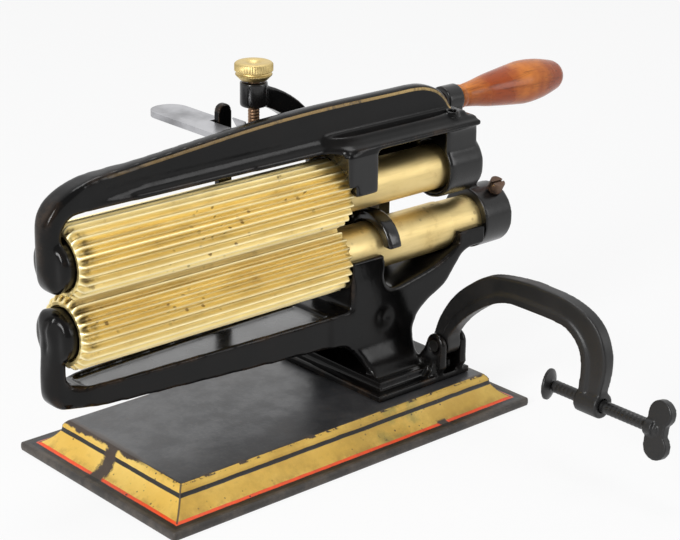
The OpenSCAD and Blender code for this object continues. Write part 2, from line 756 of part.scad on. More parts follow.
// Plan of the bottom flange on one side of the web
module flange_plan(bearing_half, barrel_half, rear_x) {
    side = concat(
        [[upright_x1 - 1, upright_half - 0.8]],
        curve([
            [upright_x1 + 40, barrel_half - 0.8], [cap_x0 - 12, barrel_half], [cap_x0 - 4, barrel_half + 1.6],
            [cap_x0 + 4, bearing_half - 1], [cap_x0 + 10, bearing_half]
        ]),
        [[rear_x, bearing_half]]
    );
    polygon(concat([for (p = side) [p[0], -p[1]]], [for (p = reversed(side)) [p[0], min(p[1], near_ear_y)]]));
}
module upper_frame() {
    leaf_y0 = thumb_y - leaf_w / 2;
    color(iron) difference() {
        union() {
            intersection() {
                side_plate(-far, far) union() {
                    upper_web_side();
                    upper_upright_side();
                }
                plan_plate(0, far) web_plan();
            }
            plan_plate(flange_z, flange_z + flange_t * 0.6)
                flange_plan(flange_bearing_half, flange_half, flange_x1);
            plan_plate(flange_z, flange_top_z)
                flange_plan(flange_bearing_half - 3, flange_half - 2, flange_x1);
            intersection() {
                plan_plate(flange_z, flange_top_z + flange_bead_h)
                    flange_plan(flange_bearing_half - 5, flange_half - 3.2, flange_x1 - 4);
                block([-far, far], [-far, 0], [0, far]);
            }
            block(
                [cap_x0, cap_x0 + cap_l], [-flange_bearing_half, near_ear_y], [cap_foot_z, flange_z + 1]
            );
            rod_x(ring_x0, ring_x1, ring_r, 0, up_z);
            block([ring_x0, ring_x1 - 2], [-0.78 * ring_r, near_ear_y], [up_z, flange_z + 1]);
            block(
                [cap_x0 + cap_l - 1, ring_x0 + 1], [near_ear_y - skirt_t, near_ear_y],
                [up_z + 5.5, flange_z + 1]
            );
            rod_x(upright_x0 + 3.6, boss_x1, bearing_boss_r, 0, up_z);
            rod_z(flange_z, flange_top_z + flange_bead_h + 0.6, oil_r + 1.2, oil_x, oil_y);
            block([ledge_x0, ledge_x1], [0, leaf_y0 + leaf_w + 1.5], [flange_z, flange_top_z]);
            rod_y(near_ear_y - 3.3, near_ear_y, hinge_boss_r, hinge_x, hinge_z);
            hinge_arm();
        }
        rod_x(cap_x0 - 1, ring_x1 + 1, upper_hole_r, 0, up_z);
        rod_x(barrel_x0 + 10, saddle_x0, tip_r + shoulder_gap, 0, up_z);
        rod_x(upright_x0 + 4, boss_x1 + 1, trunnion_hole_r, 0, up_z);
        rod_z(up_z, flange_top_z + flange_bead_h + 1, oil_r, oil_x, oil_y);
        rod_x(ring_x0 - 1, ring_x0 + 2, upper_hole_r + 1.5, 0, up_z);
        rod_y(near_ear_y - 8, far_ear_y1 + 1, hinge_r + run_clear, hinge_x, hinge_z);
        rod_z(flange_z - 1, flange_top_z + 1, leaf_screw_r + fix_clear, leaf_screw_x, thumb_y);
        for (x = lift_screw_xs) rod_y(2 - web_t / 2, far, screw_hole_r, x, lift_screw_z);
    }
}
// The far knuckle of the hinge, carried round the back plate
module hinge_arm() {
    bridge_x0 = hinge_x + hinge_boss_r + 1.6;
    bridge_x1 = bridge_x0 + 11;
    block([bridge_x0, bridge_x1], [0, far_ear_y1], [flange_z, flange_top_z]);
    side_plate(far_ear_y0, far_ear_y1) union() {
        translate([hinge_x, hinge_z]) circle(r = hinge_boss_r);
        translate([hinge_x, flange_z]) square([bridge_x1 - hinge_x, flange_t]);
    }
}
module hinge_pin() {
    color(steel) {
        rod_y(near_ear_y - 3.3, far_ear_y1 + 0.3, hinge_r, hinge_x, hinge_z);
        rod_y(far_ear_y1 + 0.3, far_ear_y1 + 2.5, hinge_r + 1.5, hinge_x, hinge_z);
    }
}

// The plate that lifts the upper frame, cut away beside the guide post
module lift_plate() {
    y0 = web_t / 2;
    tip_y = y0 + lift_reach;
    round = lift_w / 2;
    x = (lift_x0 + lift_x1) / 2;
    color(steel) difference() {
        union() {
            plan_plate(lift_z, lift_z + lift_t) union() {
                translate([lift_x0, y0]) square([lift_w, lift_reach - round]);
                translate([x, tip_y - round]) circle(r = round);
            }
            block([lift_x0, lift_x1], [y0, y0 + lift_t], [lift_z - 9, lift_z + lift_t]);
        }
        block(
            [post_x0 - notch_clear, far], [y0 + lift_t, post_y1 + notch_clear],
            [lift_z - 1, lift_z + lift_t + 1]
        );
        for (x = lift_screw_xs) rod_y(0, far, screw_hole_r, x, lift_screw_z);
    }
}
module lift_plate_screws() {
    color(steel) for (x = lift_screw_xs) translate([x, 0, lift_screw_z])
        back_screw(web_t / 2 + lift_t, 0.7, lift_t + web_t - 2.2, screw_r, screw_r + 1, 1.4);
}

// The curved arm that holds the thumb screw over the upper frame
module pressure_bracket() {
    inner = bracket_r - bracket_w;
    foot_x = bracket_c[0] + inner;
    a1 = acos(11.6 / bracket_mid_r);
    color(iron) difference() {
        union() {
            side_plate(bracket_y0, bracket_y1) polygon(concat(
                arc(bracket_c, bracket_r, a1, 0, 16),
                [[62, up_z - 13], [62, up_z - 34], [foot_x + 3, up_z - 34], [foot_x, up_z - 26]],
                arc(bracket_c, inner, 0, a1, 16)
            ));
            rod_z(boss_mid_z - thumb_boss_h / 2, boss_top_z, bracket_boss_r, thumb_x, thumb_y);
        }
        rod_z(boss_mid_z - thumb_boss_h, boss_top_z + 1, thumb_hole_r, thumb_x, thumb_y);
        for (at = bracket_screws_at) rod_y(bracket_y0 - 1, bracket_y1 + 1, screw_hole_r, at[0], at[1]);
    }
}
module bracket_screws() {
    color(steel) for (at = bracket_screws_at)
        translate([at[0], 0, at[1]]) back_screw(bracket_y1, 0.9, bracket_t + 3.5, screw_r, 3.4, 2);
}
module thumb_screw() {
    seat = thumb_seat_z - thumb_tip_z;
    top = seat + thumb_head_h;
    low = seat + thumb_head_h * 0.36;
    neck = thumb_head_r - 1.1;
    color(brass) translate([thumb_x, thumb_y, thumb_tip_z]) rotate_extrude() polygon([
        [0, 0], [thumb_r - 0.8, 0], [thumb_r, 0.8], [thumb_r, seat], [thumb_head_r - 2.6, seat],
        [thumb_head_r - 0.4, low - 0.5], [thumb_head_r - 0.4, low], [neck, low + 0.3], [neck, low + 0.8],
        [thumb_head_r, low + 1.2], [thumb_head_r, top - 0.5], [thumb_head_r - 0.5, top], [3, top],
        [1.5, top - 1], [0, top - 1]
    ]);
}
// The leaf that the thumb screw bears on, with its free end turned up
module leaf_spring() {
    z = flange_top_z;
    crown = z + leaf_rise - fix_clear;
    top = concat([[ledge_x1 - 1, z + leaf_t]], curve([
        [thumb_x + 6.8, z + leaf_t], [thumb_x + 5, z + leaf_t + 0.5], [thumb_x + 2.6, crown - 0.4],
        [thumb_x, crown], [thumb_x - 2.6, crown - 0.4], [thumb_x - 4.8, crown + 0.3],
        [thumb_x - 7.4, crown + 4.6]
    ]));
    color(steel) difference() {
        side_plate(thumb_y - leaf_w / 2, thumb_y + leaf_w / 2)
            polygon(concat(top, reversed(beside(top, -leaf_t))));
        rod_z(z - 1, z + 2, leaf_screw_r + fix_clear, leaf_screw_x, thumb_y);
    }
}
module leaf_screw() {
    z = flange_top_z + leaf_t;
    color(steel) {
        rod_z(flange_z, z + eps, leaf_screw_r, leaf_screw_x, thumb_y);
        rod_z(z, z + 1.6, leaf_screw_r + 1.2, leaf_screw_x, thumb_y);
    }
}

// Cross section of the flutes, hollow between narrow crests; a crest or a groove points straight up
module flute_section(crest_up) {
    steps = flute_count * 8;
    turn = crest_up ? 0 : 90;
    polygon([
        for (i = [0:steps - 1])
            let (a = 360 * i / steps, r = root_r + flute_depth * (1 - abs(sin(flute_count * a / 2 + turn))))
            [r * cos(a), r * sin(a)]
    ]);
}
module barrel(z, crest_up) {
    intersection() {
        translate([0, 0, z]) end_plate(barrel_x0, barrel_x1) flute_section(crest_up);
        turned_x(barrel_x0, 0, z) polygon([
            [0, 0], [tip_r - barrel_bevel, 0], [tip_r + eps, barrel_bevel], [tip_r + eps, barrel_l - 1],
            [tip_r - 1, barrel_l], [0, barrel_l]
        ]);
    }
}
module roller_hollows(z, end_x) {
    rod_x(barrel_x0 - 1, end_wall_x0, end_recess_r, 0, z);
    rod_x(barrel_x0, end_x, trunnion_r + fix_clear, 0, z);
    rod_x(end_wall_x1, end_x + 1, heater_bore_r, 0, z);
}
module lower_roller() {
    color(brass) difference() {
        union() {
            barrel(low_z, true);
            rod_x(barrel_x1 - 1, step_x, lower_journal_r, 0, low_z);
            rod_x(step_x - 1, lower_end_x, rear_journal_r, 0, low_z);
        }
        roller_hollows(low_z, lower_end_x);
    }
}
module upper_roller() {
    color(brass) difference() {
        union() {
            barrel(up_z, false);
            rod_x(barrel_x1 - 1, upper_end_x, upper_journal_r, 0, up_z);
        }
        roller_hollows(up_z, upper_end_x);
    }
}
module trunnion(z) {
    color(steel) rod_x(upright_x0 + 4.4, end_wall_x1, trunnion_r, 0, z);
}
module lower_trunnion() {
    trunnion(low_z);
}
module upper_trunnion() {
    trunnion(up_z);
}
// An iron heater, rounded in front and grooved behind for the tongs
module heater(z, end_x) {
    r = heater_bore_r - heater_clear;
    length = end_x - end_wall_x1 - 3;
    color("#4a4644") turned_x(end_wall_x1 + 1, 0, z) polygon([
        [0, 0], [r - 2, 0], [r, 2], [r, length - 9], [r - 2, length - 7], [r - 2, length - 4],
        [r - 0.5, length - 3], [r - 0.5, length - 1], [r - 1.5, length], [0, length]
    ]);
}
module lower_slug() {
    heater(low_z, lower_end_x);
}
module upper_slug() {
    heater(up_z, upper_end_x);
}

module crank() {
    color(iron) difference() {
        union() {
            rod_x(hub_x0, hub_x1, hub_r, 0, low_z);
            rod_x(spindle_boss_x0, spindle_boss_x1, spindle_boss_r, crank_y, crank_z);
            translate([0, 0, low_z]) rotate([-crank_lean, 0, 0]) end_plate(crank_arm_x0, crank_arm_x1)
                polygon([
                    [-crank_arm_w / 2 - 1, 0], [crank_arm_w / 2 + 1, 0],
                    [crank_arm_w / 2, crank_reach], [-crank_arm_w / 2, crank_reach]
                ]);
        }
        rod_x(hub_x0 - 1, hub_x1 + 1, rear_journal_r + fix_clear, 0, low_z);
        rod_x(spindle_boss_x0 - 1, spindle_boss_x1 + 1, spindle_r + fix_clear, crank_y, crank_z);
        set_screw_place() rod_z(0, far, screw_hole_r);
    }
}
module set_screw_place() {
    translate([hub_x1 - 5.2, 0, low_z]) rotate([set_screw_lean, 0, 0]) children();
}
module crank_set_screw() {
    head_z = hub_r + 0.8;
    color("#7a5844") set_screw_place() difference() {
        union() {
            rod_z(rear_journal_r + 0.1, head_z + eps, screw_r);
            rod_z(head_z, head_z + 4.5, 3.3);
        }
        translate([-far / 2, -0.5, head_z + 3.3]) cube([far, 1, far]);
    }
}
module grip_spindle() {
    color(steel) {
        rod_x(spindle_boss_x0, grip_sink_x + grip_gap + eps, spindle_r, crank_y, crank_z);
        rod_x(spindle_boss_x0 - 0.8, spindle_boss_x0, spindle_r + 0.6, crank_y, crank_z);
        rod_x(grip_sink_x + grip_gap, grip_sink_x + grip_gap + 1, spindle_head_r, crank_y, crank_z);
    }
}
module grip() {
    l = grip_l;
    bead = 4.6;
    belly = curve([
        [grip_neck_r - 0.2, bead + 1], [grip_neck_r + 0.6, bead + 7], [grip_neck_r + 2, bead + 15],
        [grip_r - 0.6, 0.54 * l], [grip_r, 0.66 * l], [grip_r - 0.7, 0.8 * l], [grip_r - 3.6, 0.94 * l],
        [spindle_head_r + 1.8, 0.985 * l], [spindle_head_r + 1.1, l]
    ]);
    color("#b5602a") difference() {
        turned_x(grip_x0, crank_y, crank_z) polygon(concat(
            [[0, 0], [grip_neck_r - 0.5, 0], [grip_neck_r, 0.6], [grip_neck_r, 2.6], [grip_neck_r - 0.6, 3.2],
                [grip_neck_r - 0.6, 4]],
            belly, [[0, l]]
        ));
        rod_x(grip_x0 - 1, grip_x1 + 1, spindle_r + run_clear, crank_y, crank_z);
        rod_x(grip_sink_x, grip_x1 + 1, spindle_head_r + run_clear, crank_y, crank_z);
    }
}

// Moves an outline drawn out from the pivot and up into the plane of the clamp
function from_pivot(pts) = [for (p = pts) [pivot_y - p[0], pivot_z + p[1]]];
module clamp_body() {
    rim = curve(clamp_outer);
    half_web = clamp_web_t / 2;
    half_bead = clamp_bead_w / 2;
    inner = curve(clamp_inner);
    axis_z = pivot_z + clamp_axis;
    color(iron) difference() {
        union() {
            end_plate(clamp_x - half_web, clamp_x + half_web)
                polygon(from_pivot(concat(rim, inner)));
            end_plate(clamp_x - half_bead, clamp_x + half_bead)
                polygon(from_pivot(concat(inner, reversed(beside(inner, clamp_bead_t)))));
            rod_x(clamp_x - half_bead, clamp_x + half_bead, ear_r - 0.2, pivot_y, pivot_z);
            rod_y(
                pivot_y - clamp_boss_mid - clamp_boss_l / 2, pivot_y - clamp_boss_mid + clamp_boss_l / 2,
                clamp_boss_r, clamp_x, axis_z
            );
        }
        rod_x(0, far, clamp_pin_r + run_clear, pivot_y, pivot_z);
        rod_y(-far, pivot_y - clamp_boss_mid + clamp_boss_l, clamp_screw_r + run_clear, clamp_x, axis_z);
    }
}
module clamp_pin() {
    x0 = ear_x1 - 2 * ear_t - ear_gap;
    color(steel) rod_x(x0, ear_x1, clamp_pin_r, pivot_y, pivot_z);
}
// Moves what is drawn about the screw's axis, with its pad end at zero, into place
module on_clamp_screw() {
    translate([clamp_x, pivot_y - pad_out, pivot_z + clamp_axis]) children();
}
module clamp_screw() {
    wing_y = pad_out - wing_out;
    color(iron) on_clamp_screw() {
        rod_y(wing_y, -pad_seat, clamp_screw_r);
        rod_y(wing_y, 0, pad_neck_r);
        rotate([0, wing_turn, 0]) {
            rod_y(wing_y + 2, wing_y + 6, clamp_screw_r + 1);
            for (side = [-1, 1]) rod_x(-wing_t / 2, wing_t / 2, wing_r, wing_y, side * lobe_out);
            block([-wing_t / 2, wing_t / 2], [wing_y - 3.2, wing_y + wing_r], [-lobe_out, lobe_out]);
        }
    }
}
module clamp_pad() {
    color(iron) on_clamp_screw() difference() {
        rotate([0, 0, pad_lean]) {
            rod_y(pad_t - 2.4, pad_t - 1.2, pad_r);
            translate([0, pad_t - 2.4 + eps, 0]) rotate([90, 0, 0])
                cylinder(r1 = pad_r, r2 = pad_neck_r + 1.4, h = pad_t - 1.2);
        }
        rod_y(-far, pad_neck_in, pad_neck_r + run_clear);
    }
}

base();
base_screws();
lower_frame();
journal_hook();
hook_screws();
guide_post();
guide_post_screws();
upper_frame();
hinge_pin();
lift_plate();
lift_plate_screws();
pressure_bracket();
bracket_screws();
thumb_screw();
leaf_spring();
leaf_screw();
lower_roller();
upper_roller();
lower_trunnion();
upper_trunnion();
lower_slug();
upper_slug();
crank();
crank_set_screw();
grip_spindle();
grip();
clamp_body();
clamp_pin();
clamp_screw();
clamp_pad();
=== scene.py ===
import math

import bmesh
import bpy
import numpy as np
from mathutils import Matrix, Vector


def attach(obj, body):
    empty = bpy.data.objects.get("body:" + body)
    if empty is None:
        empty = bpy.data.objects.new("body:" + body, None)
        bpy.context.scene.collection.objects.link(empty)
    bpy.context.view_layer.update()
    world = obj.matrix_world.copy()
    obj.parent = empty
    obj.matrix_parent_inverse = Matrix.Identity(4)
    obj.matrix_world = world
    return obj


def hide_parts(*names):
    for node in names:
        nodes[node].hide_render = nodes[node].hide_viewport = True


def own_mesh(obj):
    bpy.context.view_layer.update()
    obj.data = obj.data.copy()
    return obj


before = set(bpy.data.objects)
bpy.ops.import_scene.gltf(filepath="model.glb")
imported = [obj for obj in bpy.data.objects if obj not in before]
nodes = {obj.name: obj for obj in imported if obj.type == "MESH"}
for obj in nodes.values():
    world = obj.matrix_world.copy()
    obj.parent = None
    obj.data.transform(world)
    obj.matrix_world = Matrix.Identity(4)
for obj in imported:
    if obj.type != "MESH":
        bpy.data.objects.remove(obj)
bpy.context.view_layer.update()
scene = bpy.context.scene
MM = 0.001

# Camera of the photograph: place in metres, angles in degrees, lens and sensor in millimetres
CAMERA_PLACE = (-0.4736, -0.5555, 0.3415)
HEADING, TILT, ROLL = 42.24, 20.42, 1.03
LENS, SENSOR = 102.46, 36

# Lamps: place and size in metres, power in watts
LAMP_AIM = (0, 0, 0.08)
LAMPS = {
    "left": ((-1.1, -0.3, 0.6), (0.4, 0.75), 12),
    "right": ((0.75, -0.95, 0.5), (0.3, 0.7), 2),
    "top": ((0.2, 0.2, 1.2), (0.6, 0.6), 4),
}

# Stage: the floor's half width in metres and its share of plain white, the strength of the even
# light, the direction away from the viewer, and the backdrop's strength from start to end along it
FLOOR_REACH = 6
FLOOR_WHITE = 0.88
EVEN_LIGHT = 0.25
BEHIND = (0.67, 0.74, 0)
BACKDROP_START, BACKDROP_END = -0.35, 0.25
BACKDROP_DIM, BACKDROP_FULL = 0.4, 1.0

# Axes and sizes of the turning pieces, in millimetres
LOW_Z = 69.5
UP_Z = 97.0
BARREL_X0, BARREL_X1 = -106.5, 25.5
TIP_R, ROOT_R = 14.6, 12.4
FLUTES = 24
BORE_R, BORE_END = 7.6, -96
TRUNNION_R = 3.02
LOWER_JOURNAL = [(87, 10.5), (120.3, 9.5)]
UPPER_JOURNAL = [(98.5, 9.7)]
HANDLE_Y, HANDLE_Z = 15.52, 119.025
CLAMP_X, CLAMP_SCREW_Z = 66.0, 30.4
PIVOT_Y, PIVOT_Z = -28.6, 30.0
HINGE_X, HINGE_Z = 57.0, 117.8
THUMB_X, THUMB_Y = 1.4, 20.5
THUMB_TIP, THUMB_SEAT, THUMB_TOP = 124.3, 143.92, 151.12
OIL_X, OIL_Y = 85.0, -8.0
DIMPLE_X, DIMPLE_Z = 44, 41.8
FLANGE_TOP = 119.8

# Bores of the castings: number of the axis, centre across it, radius, and span along it
LOWER_BORES = (
    (0, (0, LOW_Z), 10.56, (20, 87.5)),
    (0, (0, LOW_Z), 9.56, (86.5, 104)),
    (0, (0, LOW_Z), 3.06, (-113, -106)),
)
UPPER_BORES = (
    (0, (0, UP_Z), 9.76, (20, 101)),
    (0, (0, UP_Z), 3.06, (-113, -106)),
    (1, (HINGE_X, HINGE_Z), 2.56, (0, 30)),
)
HOOK_BORES = ((0, (0, LOW_Z), 10.62, (20, 80)),)
CLAMP_BORES = (
    (1, (CLAMP_X, CLAMP_SCREW_Z), 2.75, (-120, -98)),
    (0, (PIVOT_Y, PIVOT_Z), 2.55, (50, 80)),
)

# Top edge of the upper frame's web, along X and Z in millimetres
WEB_TOP = [
    (-102.5, 124.9), (-95, 127.3), (-85, 128.3), (-70, 129.2), (-44.5, 131.3),
    (-14.5, 133.7), (16.5, 134.9), (57, 134.9), (67, 134.9), (74.5, 134.1),
    (81.5, 131.5), (86.5, 127.5), (89.2, 123.2), (90, 119.8),
]

# The base: half its length and width, and its bands of paint, in millimetres from the rim
BASE_HALF_L, BASE_HALF_W = 95.0, 51.0
LEDGE_EDGE = (6.6, 5.4)
RED_LINE = (8.2, 10.0)
COVE_GILT = (10.0, 21.2)
TOP_GILT = (23.4, 28.1)
DECK_EDGE = (28.0, 28.4)


# Camera

def add_camera():
    """The camera of the photograph, from its fitted place, heading and tilt."""
    az, el, roll = (math.radians(angle) for angle in (HEADING, TILT, ROLL))
    ahead = Vector((math.cos(el) * math.sin(az), math.cos(el) * math.cos(az), -math.sin(el)))
    level = ahead.cross(Vector((0, 0, 1))).normalized()
    upright = level.cross(ahead)
    right = level * math.cos(roll) + upright * math.sin(roll)
    up = upright * math.cos(roll) - level * math.sin(roll)
    data = bpy.data.cameras.new("camera")
    data.sensor_fit = "HORIZONTAL"
    data.sensor_width = SENSOR
    data.lens = LENS
    data.clip_start = 0.01
    data.clip_end = 50
    obj = bpy.data.objects.new("camera", data)
    turn = Matrix((right, up, -ahead)).transposed().to_4x4()
    obj.matrix_world = Matrix.Translation(CAMERA_PLACE) @ turn
    scene.collection.objects.link(obj)
    scene.camera = obj


# Meshes

def curve(points, steps):
    """A smooth line through the points."""
    p = np.array(points, float)
    out = []
    for i in range(len(p) - 1):
        a, b, c, d = p[max(i - 1, 0)], p[i], p[i + 1], p[min(i + 2, len(p) - 1)]
        for t in np.arange(steps) / steps:
            out.append(0.5 * (2 * b + (c - a) * t + (2 * a - 5 * b + 4 * c - d) * t**2
                              + (3 * b - a - 3 * c + d) * t**3))
    return np.array(out + [p[-1]])


def places(mesh):
    """The mesh's points, in millimetres."""
    co = np.empty(len(mesh.vertices) * 3, np.float32)
    mesh.vertices.foreach_get("co", co)
    return co.reshape(-1, 3).astype(float) / MM


def set_places(mesh, co):
    """Moves the mesh's points to the given places, in millimetres."""
    mesh.vertices.foreach_set("co", (co * MM).astype(np.float32).ravel())
    mesh.update()


def normals(mesh):
    """The mesh's directions at its points."""
    n = np.empty(len(mesh.vertices) * 3, np.float32)
    mesh.vertex_normals.foreach_get("vector", n)
    return n.reshape(-1, 3).astype(float)


def put(mesh, name, values):
    """Stores a number for each point, for the materials to read."""
    data = mesh.attributes.new(name, "FLOAT", "POINT").data
    data.foreach_set("value", np.asarray(values, np.float32))


def smoothstep(lo, hi, v):
    """From 0 to 1 as the value goes from lo to hi."""
    t = np.clip((v - lo) / (hi - lo), 0, 1)
    return t * t * (3 - 2 * t)


def edge_ends(mesh):
    """The two points of each of the mesh's edges."""
    edges = np.empty(len(mesh.edges) * 2, np.int32)
    mesh.edges.foreach_get("vertices", edges)
    return edges[0::2], edges[1::2]


def neighbour_mean(mesh):
    """A function that takes a value at each point, and gives the mean of its neighbours' values."""
    a, b = edge_ends(mesh)
    n = len(mesh.vertices)
    count = np.maximum(np.bincount(a, minlength=n) + np.bincount(b, minlength=n), 1)

    def mean(values):
        return (np.bincount(a, values[b], n) + np.bincount(b, values[a], n)) / count

    return mean


def bulge(mesh):
    """How sharply each point of a cast surface stands out, as one over a radius in millimetres."""
    a, b = edge_ends(mesh)
    co, mean = places(mesh), neighbour_mean(mesh)
    length = np.linalg.norm(co[a] - co[b], axis=1).mean()
    lean = np.stack([c - mean(c) for c in co.T], 1)
    out = (lean * normals(mesh)).sum(1) / length**2 * 4
    for _ in range(2):
        out = 0.5 * out + 0.5 * mean(out)
    return out


def soften(mesh, mask, passes, grow):
    """Rounds a casting further where the mask is set, and gives back the thickness lost."""
    co, mean = places(mesh), neighbour_mean(mesh)
    for _ in range(passes):
        for k in range(3):
            co[:, k] += 0.5 * mask * (mean(co[:, k]) - co[:, k])
    set_places(mesh, co)
    set_places(mesh, co + normals(mesh) * (grow * mask)[:, None])


def bored(co, axis, centre, radius, span):
    """Points of a bearing that came too close to its axis are put back on the bore."""
    others = [k for k in range(3) if k != axis]
    off = co[:, others] - np.array(centre)
    r = np.linalg.norm(off, axis=1)
    near = (r < radius) & (r > 0.3 * radius) & (co[:, axis] > span[0]) & (co[:, axis] < span[1])
    co[np.ix_(near, others)] = np.array(centre) + off[near] * (radius / r[near])[:, None]
    return co


def cast_mesh(name, node, voxel, passes, bores=(), zones=(), shape_up=None):
    """A node's solid with the soft edges of a casting, remeshed at the voxel size in millimetres.

    Each zone is softened further: a mask, a number of passes and a thickness to give back.
    """
    mesh = nodes[node].data.copy()
    shape = bmesh.new()
    shape.from_mesh(mesh)
    bmesh.ops.remove_doubles(shape, verts=shape.verts, dist=2e-6)
    shape.to_mesh(mesh)
    shape.free()
    rough = bpy.data.objects.new("rough", mesh)
    scene.collection.objects.link(rough)
    remesh = rough.modifiers.new("remesh", "REMESH")
    remesh.mode = "VOXEL"
    remesh.voxel_size = voxel * MM
    smooth = rough.modifiers.new("smooth", "SMOOTH")
    smooth.factor = 0.5
    smooth.iterations = passes
    done = rough.evaluated_get(bpy.context.evaluated_depsgraph_get())
    out = bpy.data.meshes.new_from_object(done)
    bpy.data.objects.remove(rough)
    bpy.data.meshes.remove(mesh)
    out.name = name
    out.materials.clear()
    for zone, more, grow in zones:
        soften(out, zone(*places(out).T), more, grow)
    if shape_up:
        set_places(out, places(out) + normals(out) * shape_up(*places(out).T)[:, None])
    co = places(out)
    for bore in bores:
        co = bored(co, *bore)
    set_places(out, co)
    out.shade_smooth()
    put(out, "edge", smoothstep(0.12, 0.6, bulge(out)))
    return out


def turned_mesh(name, rings, closed=True, sharp=40):
    """A lathe-turned mesh from rings of points, each an array of X, Y and Z in millimetres."""
    rings = np.array(rings)
    count, around = rings.shape[:2]
    faces = []
    for i in range(count if closed else count - 1):
        j = (i + 1) % count
        for k in range(around):
            m = (k + 1) % around
            faces.append((i * around + k, i * around + m, j * around + m, j * around + k))
    mesh = bpy.data.meshes.new(name)
    mesh.from_pydata((rings.reshape(-1, 3) * MM).tolist(), [], faces)
    shape = bmesh.new()
    shape.from_mesh(mesh)
    bmesh.ops.recalc_face_normals(shape, faces=shape.faces)
    shape.to_mesh(mesh)
    shape.free()
    mesh.shade_smooth()
    mesh.set_sharp_from_angle(angle=math.radians(sharp))
    return mesh


def angles(around):
    """Evenly spaced angles of a full turn."""
    return np.arange(around) / around * 2 * math.pi


def ring_x(x, radius, y, z, around):
    """Points round an axis along X. The radius may differ from point to point."""
    angle = angles(around)
    r = np.broadcast_to(radius, around)
    return np.stack([np.full(around, x), y + r * np.sin(angle), z + r * np.cos(angle)], 1)


def ring_z(z, radius, x, y, around):
    """Points round an axis along Z. The radius may differ from point to point."""
    angle = angles(around)
    r = np.broadcast_to(radius, around)
    return np.stack([x + r * np.cos(angle), y + r * np.sin(angle), np.full(around, z)], 1)


def piece(name, mesh, node, body, material):
    """A finished mesh that stands for a CAD node."""
    obj = bpy.data.objects.new(name, mesh)
    scene.collection.objects.link(obj)
    mesh.materials.append(material)
    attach(obj, body)
    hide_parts(node)
    return obj


def second_material(obj, material, where):
    """Another material on the faces whose middle, in millimetres, and direction pass the test."""
    obj.data.materials.append(material)
    for face in obj.data.polygons:
        if where(face.center / MM, face.normal):
            face.material_index = 1


def round_edges(obj):
    """Narrow rounded edges, as left by a file."""
    weld = obj.modifiers.new("weld", "WELD")
    weld.merge_threshold = 2e-6
    round_off = obj.modifiers.new("round_off", "BEVEL")
    round_off.width = 0.3 * MM
    round_off.segments = 2
    round_off.limit_method = "ANGLE"
    round_off.angle_limit = math.radians(40)


# Materials

class Tree:
    """A node tree, with short calls for the nodes in it."""

    def __init__(self, tree):
        self.tree = tree

    def feed(self, socket, value):
        """Links a socket to another, or sets its value. A colour may leave out its alpha."""
        if isinstance(value, bpy.types.NodeSocket):
            self.tree.links.new(value, socket)
        elif hasattr(socket.default_value, "__len__") and len(value) < len(socket.default_value):
            socket.default_value = (*value, 1)
        else:
            socket.default_value = value

    def add(self, kind, out=0, inputs=None, **settings):
        """A new node's output."""
        node = self.tree.nodes.new(kind)
        for key, value in settings.items():
            setattr(node, key, value)
        for key, value in (inputs or {}).items():
            self.feed(node.inputs[key], value)
        return node.outputs[out]

    def math(self, operation, a, b=0.0):
        return self.add("ShaderNodeMath", 0, {0: a, 1: b}, operation=operation)

    def step(self, value, lo, hi, start=0.0, end=1.0):
        """From start to end as the value goes from lo to hi."""
        return self.add("ShaderNodeMapRange", 0, {0: value, 1: lo, 2: hi, 3: start, 4: end},
                        interpolation_type="SMOOTHSTEP")

    def seen_white(self):
        """1 for rays from the camera, and for those reflected or passed on to it."""
        path = self.tree.nodes.new("ShaderNodeLightPath")
        total = path.outputs["Is Camera Ray"]
        for name in ("Is Glossy Ray", "Is Transmission Ray"):
            total = self.add("ShaderNodeMath", 0, {0: total, 1: path.outputs[name]},
                             operation="ADD", use_clamp=True)
        return total

    def output(self, kind, shader):
        """The tree's own output node."""
        self.feed(self.tree.nodes.new(kind).inputs[0], shader)


class Paint(Tree):
    """A material round one principled shader."""

    def __init__(self, name):
        self.material = bpy.data.materials.new(name)
        self.material.use_nodes = True
        super().__init__(self.material.node_tree)
        self.shader = next(n for n in self.tree.nodes if n.type == "BSDF_PRINCIPLED")
        self.at = self.add("ShaderNodeTexCoord", "Object")

    def set(self, **sockets):
        """Feeds the shader's sockets, named with _ for a space, and gives the finished material."""
        for key, value in sockets.items():
            self.feed(self.shader.inputs[key.replace("_", " ")], value)
        return self.material

    def value(self, name):
        """A number that is stored at the mesh's points."""
        return self.add("ShaderNodeAttribute", "Fac", attribute_name=name)

    def mix(self, amount, a, b):
        return self.add("ShaderNodeMix", 2, {0: amount, 6: a, 7: b}, data_type="RGBA")

    def stretched(self, x, y, z):
        return self.add("ShaderNodeMapping", 0, {"Vector": self.at, "Scale": (x, y, z)})

    def noise(self, scale, detail=3.0, rough=0.55, at=None, warp=0.0):
        return self.add("ShaderNodeTexNoise", 0, {
            "Vector": at or self.at, "Scale": scale, "Detail": detail, "Roughness": rough,
            "Distortion": warp})

    def spots(self, scale):
        """Distance to scattered points, 0 at each of them."""
        return self.add("ShaderNodeTexVoronoi", "Distance", {"Vector": self.at, "Scale": scale})

    def bump(self, height, strength, depth, under=None):
        inputs = {"Height": height, "Strength": strength, "Distance": depth * MM}
        if under is not None:
            inputs["Normal"] = under
        return self.add("ShaderNodeBump", 0, inputs)

    def both(self, a, b):
        return self.math("MULTIPLY", a, b)

    def either(self, first, *others):
        for other in others:
            first = self.math("MAXIMUM", first, other)
        return first


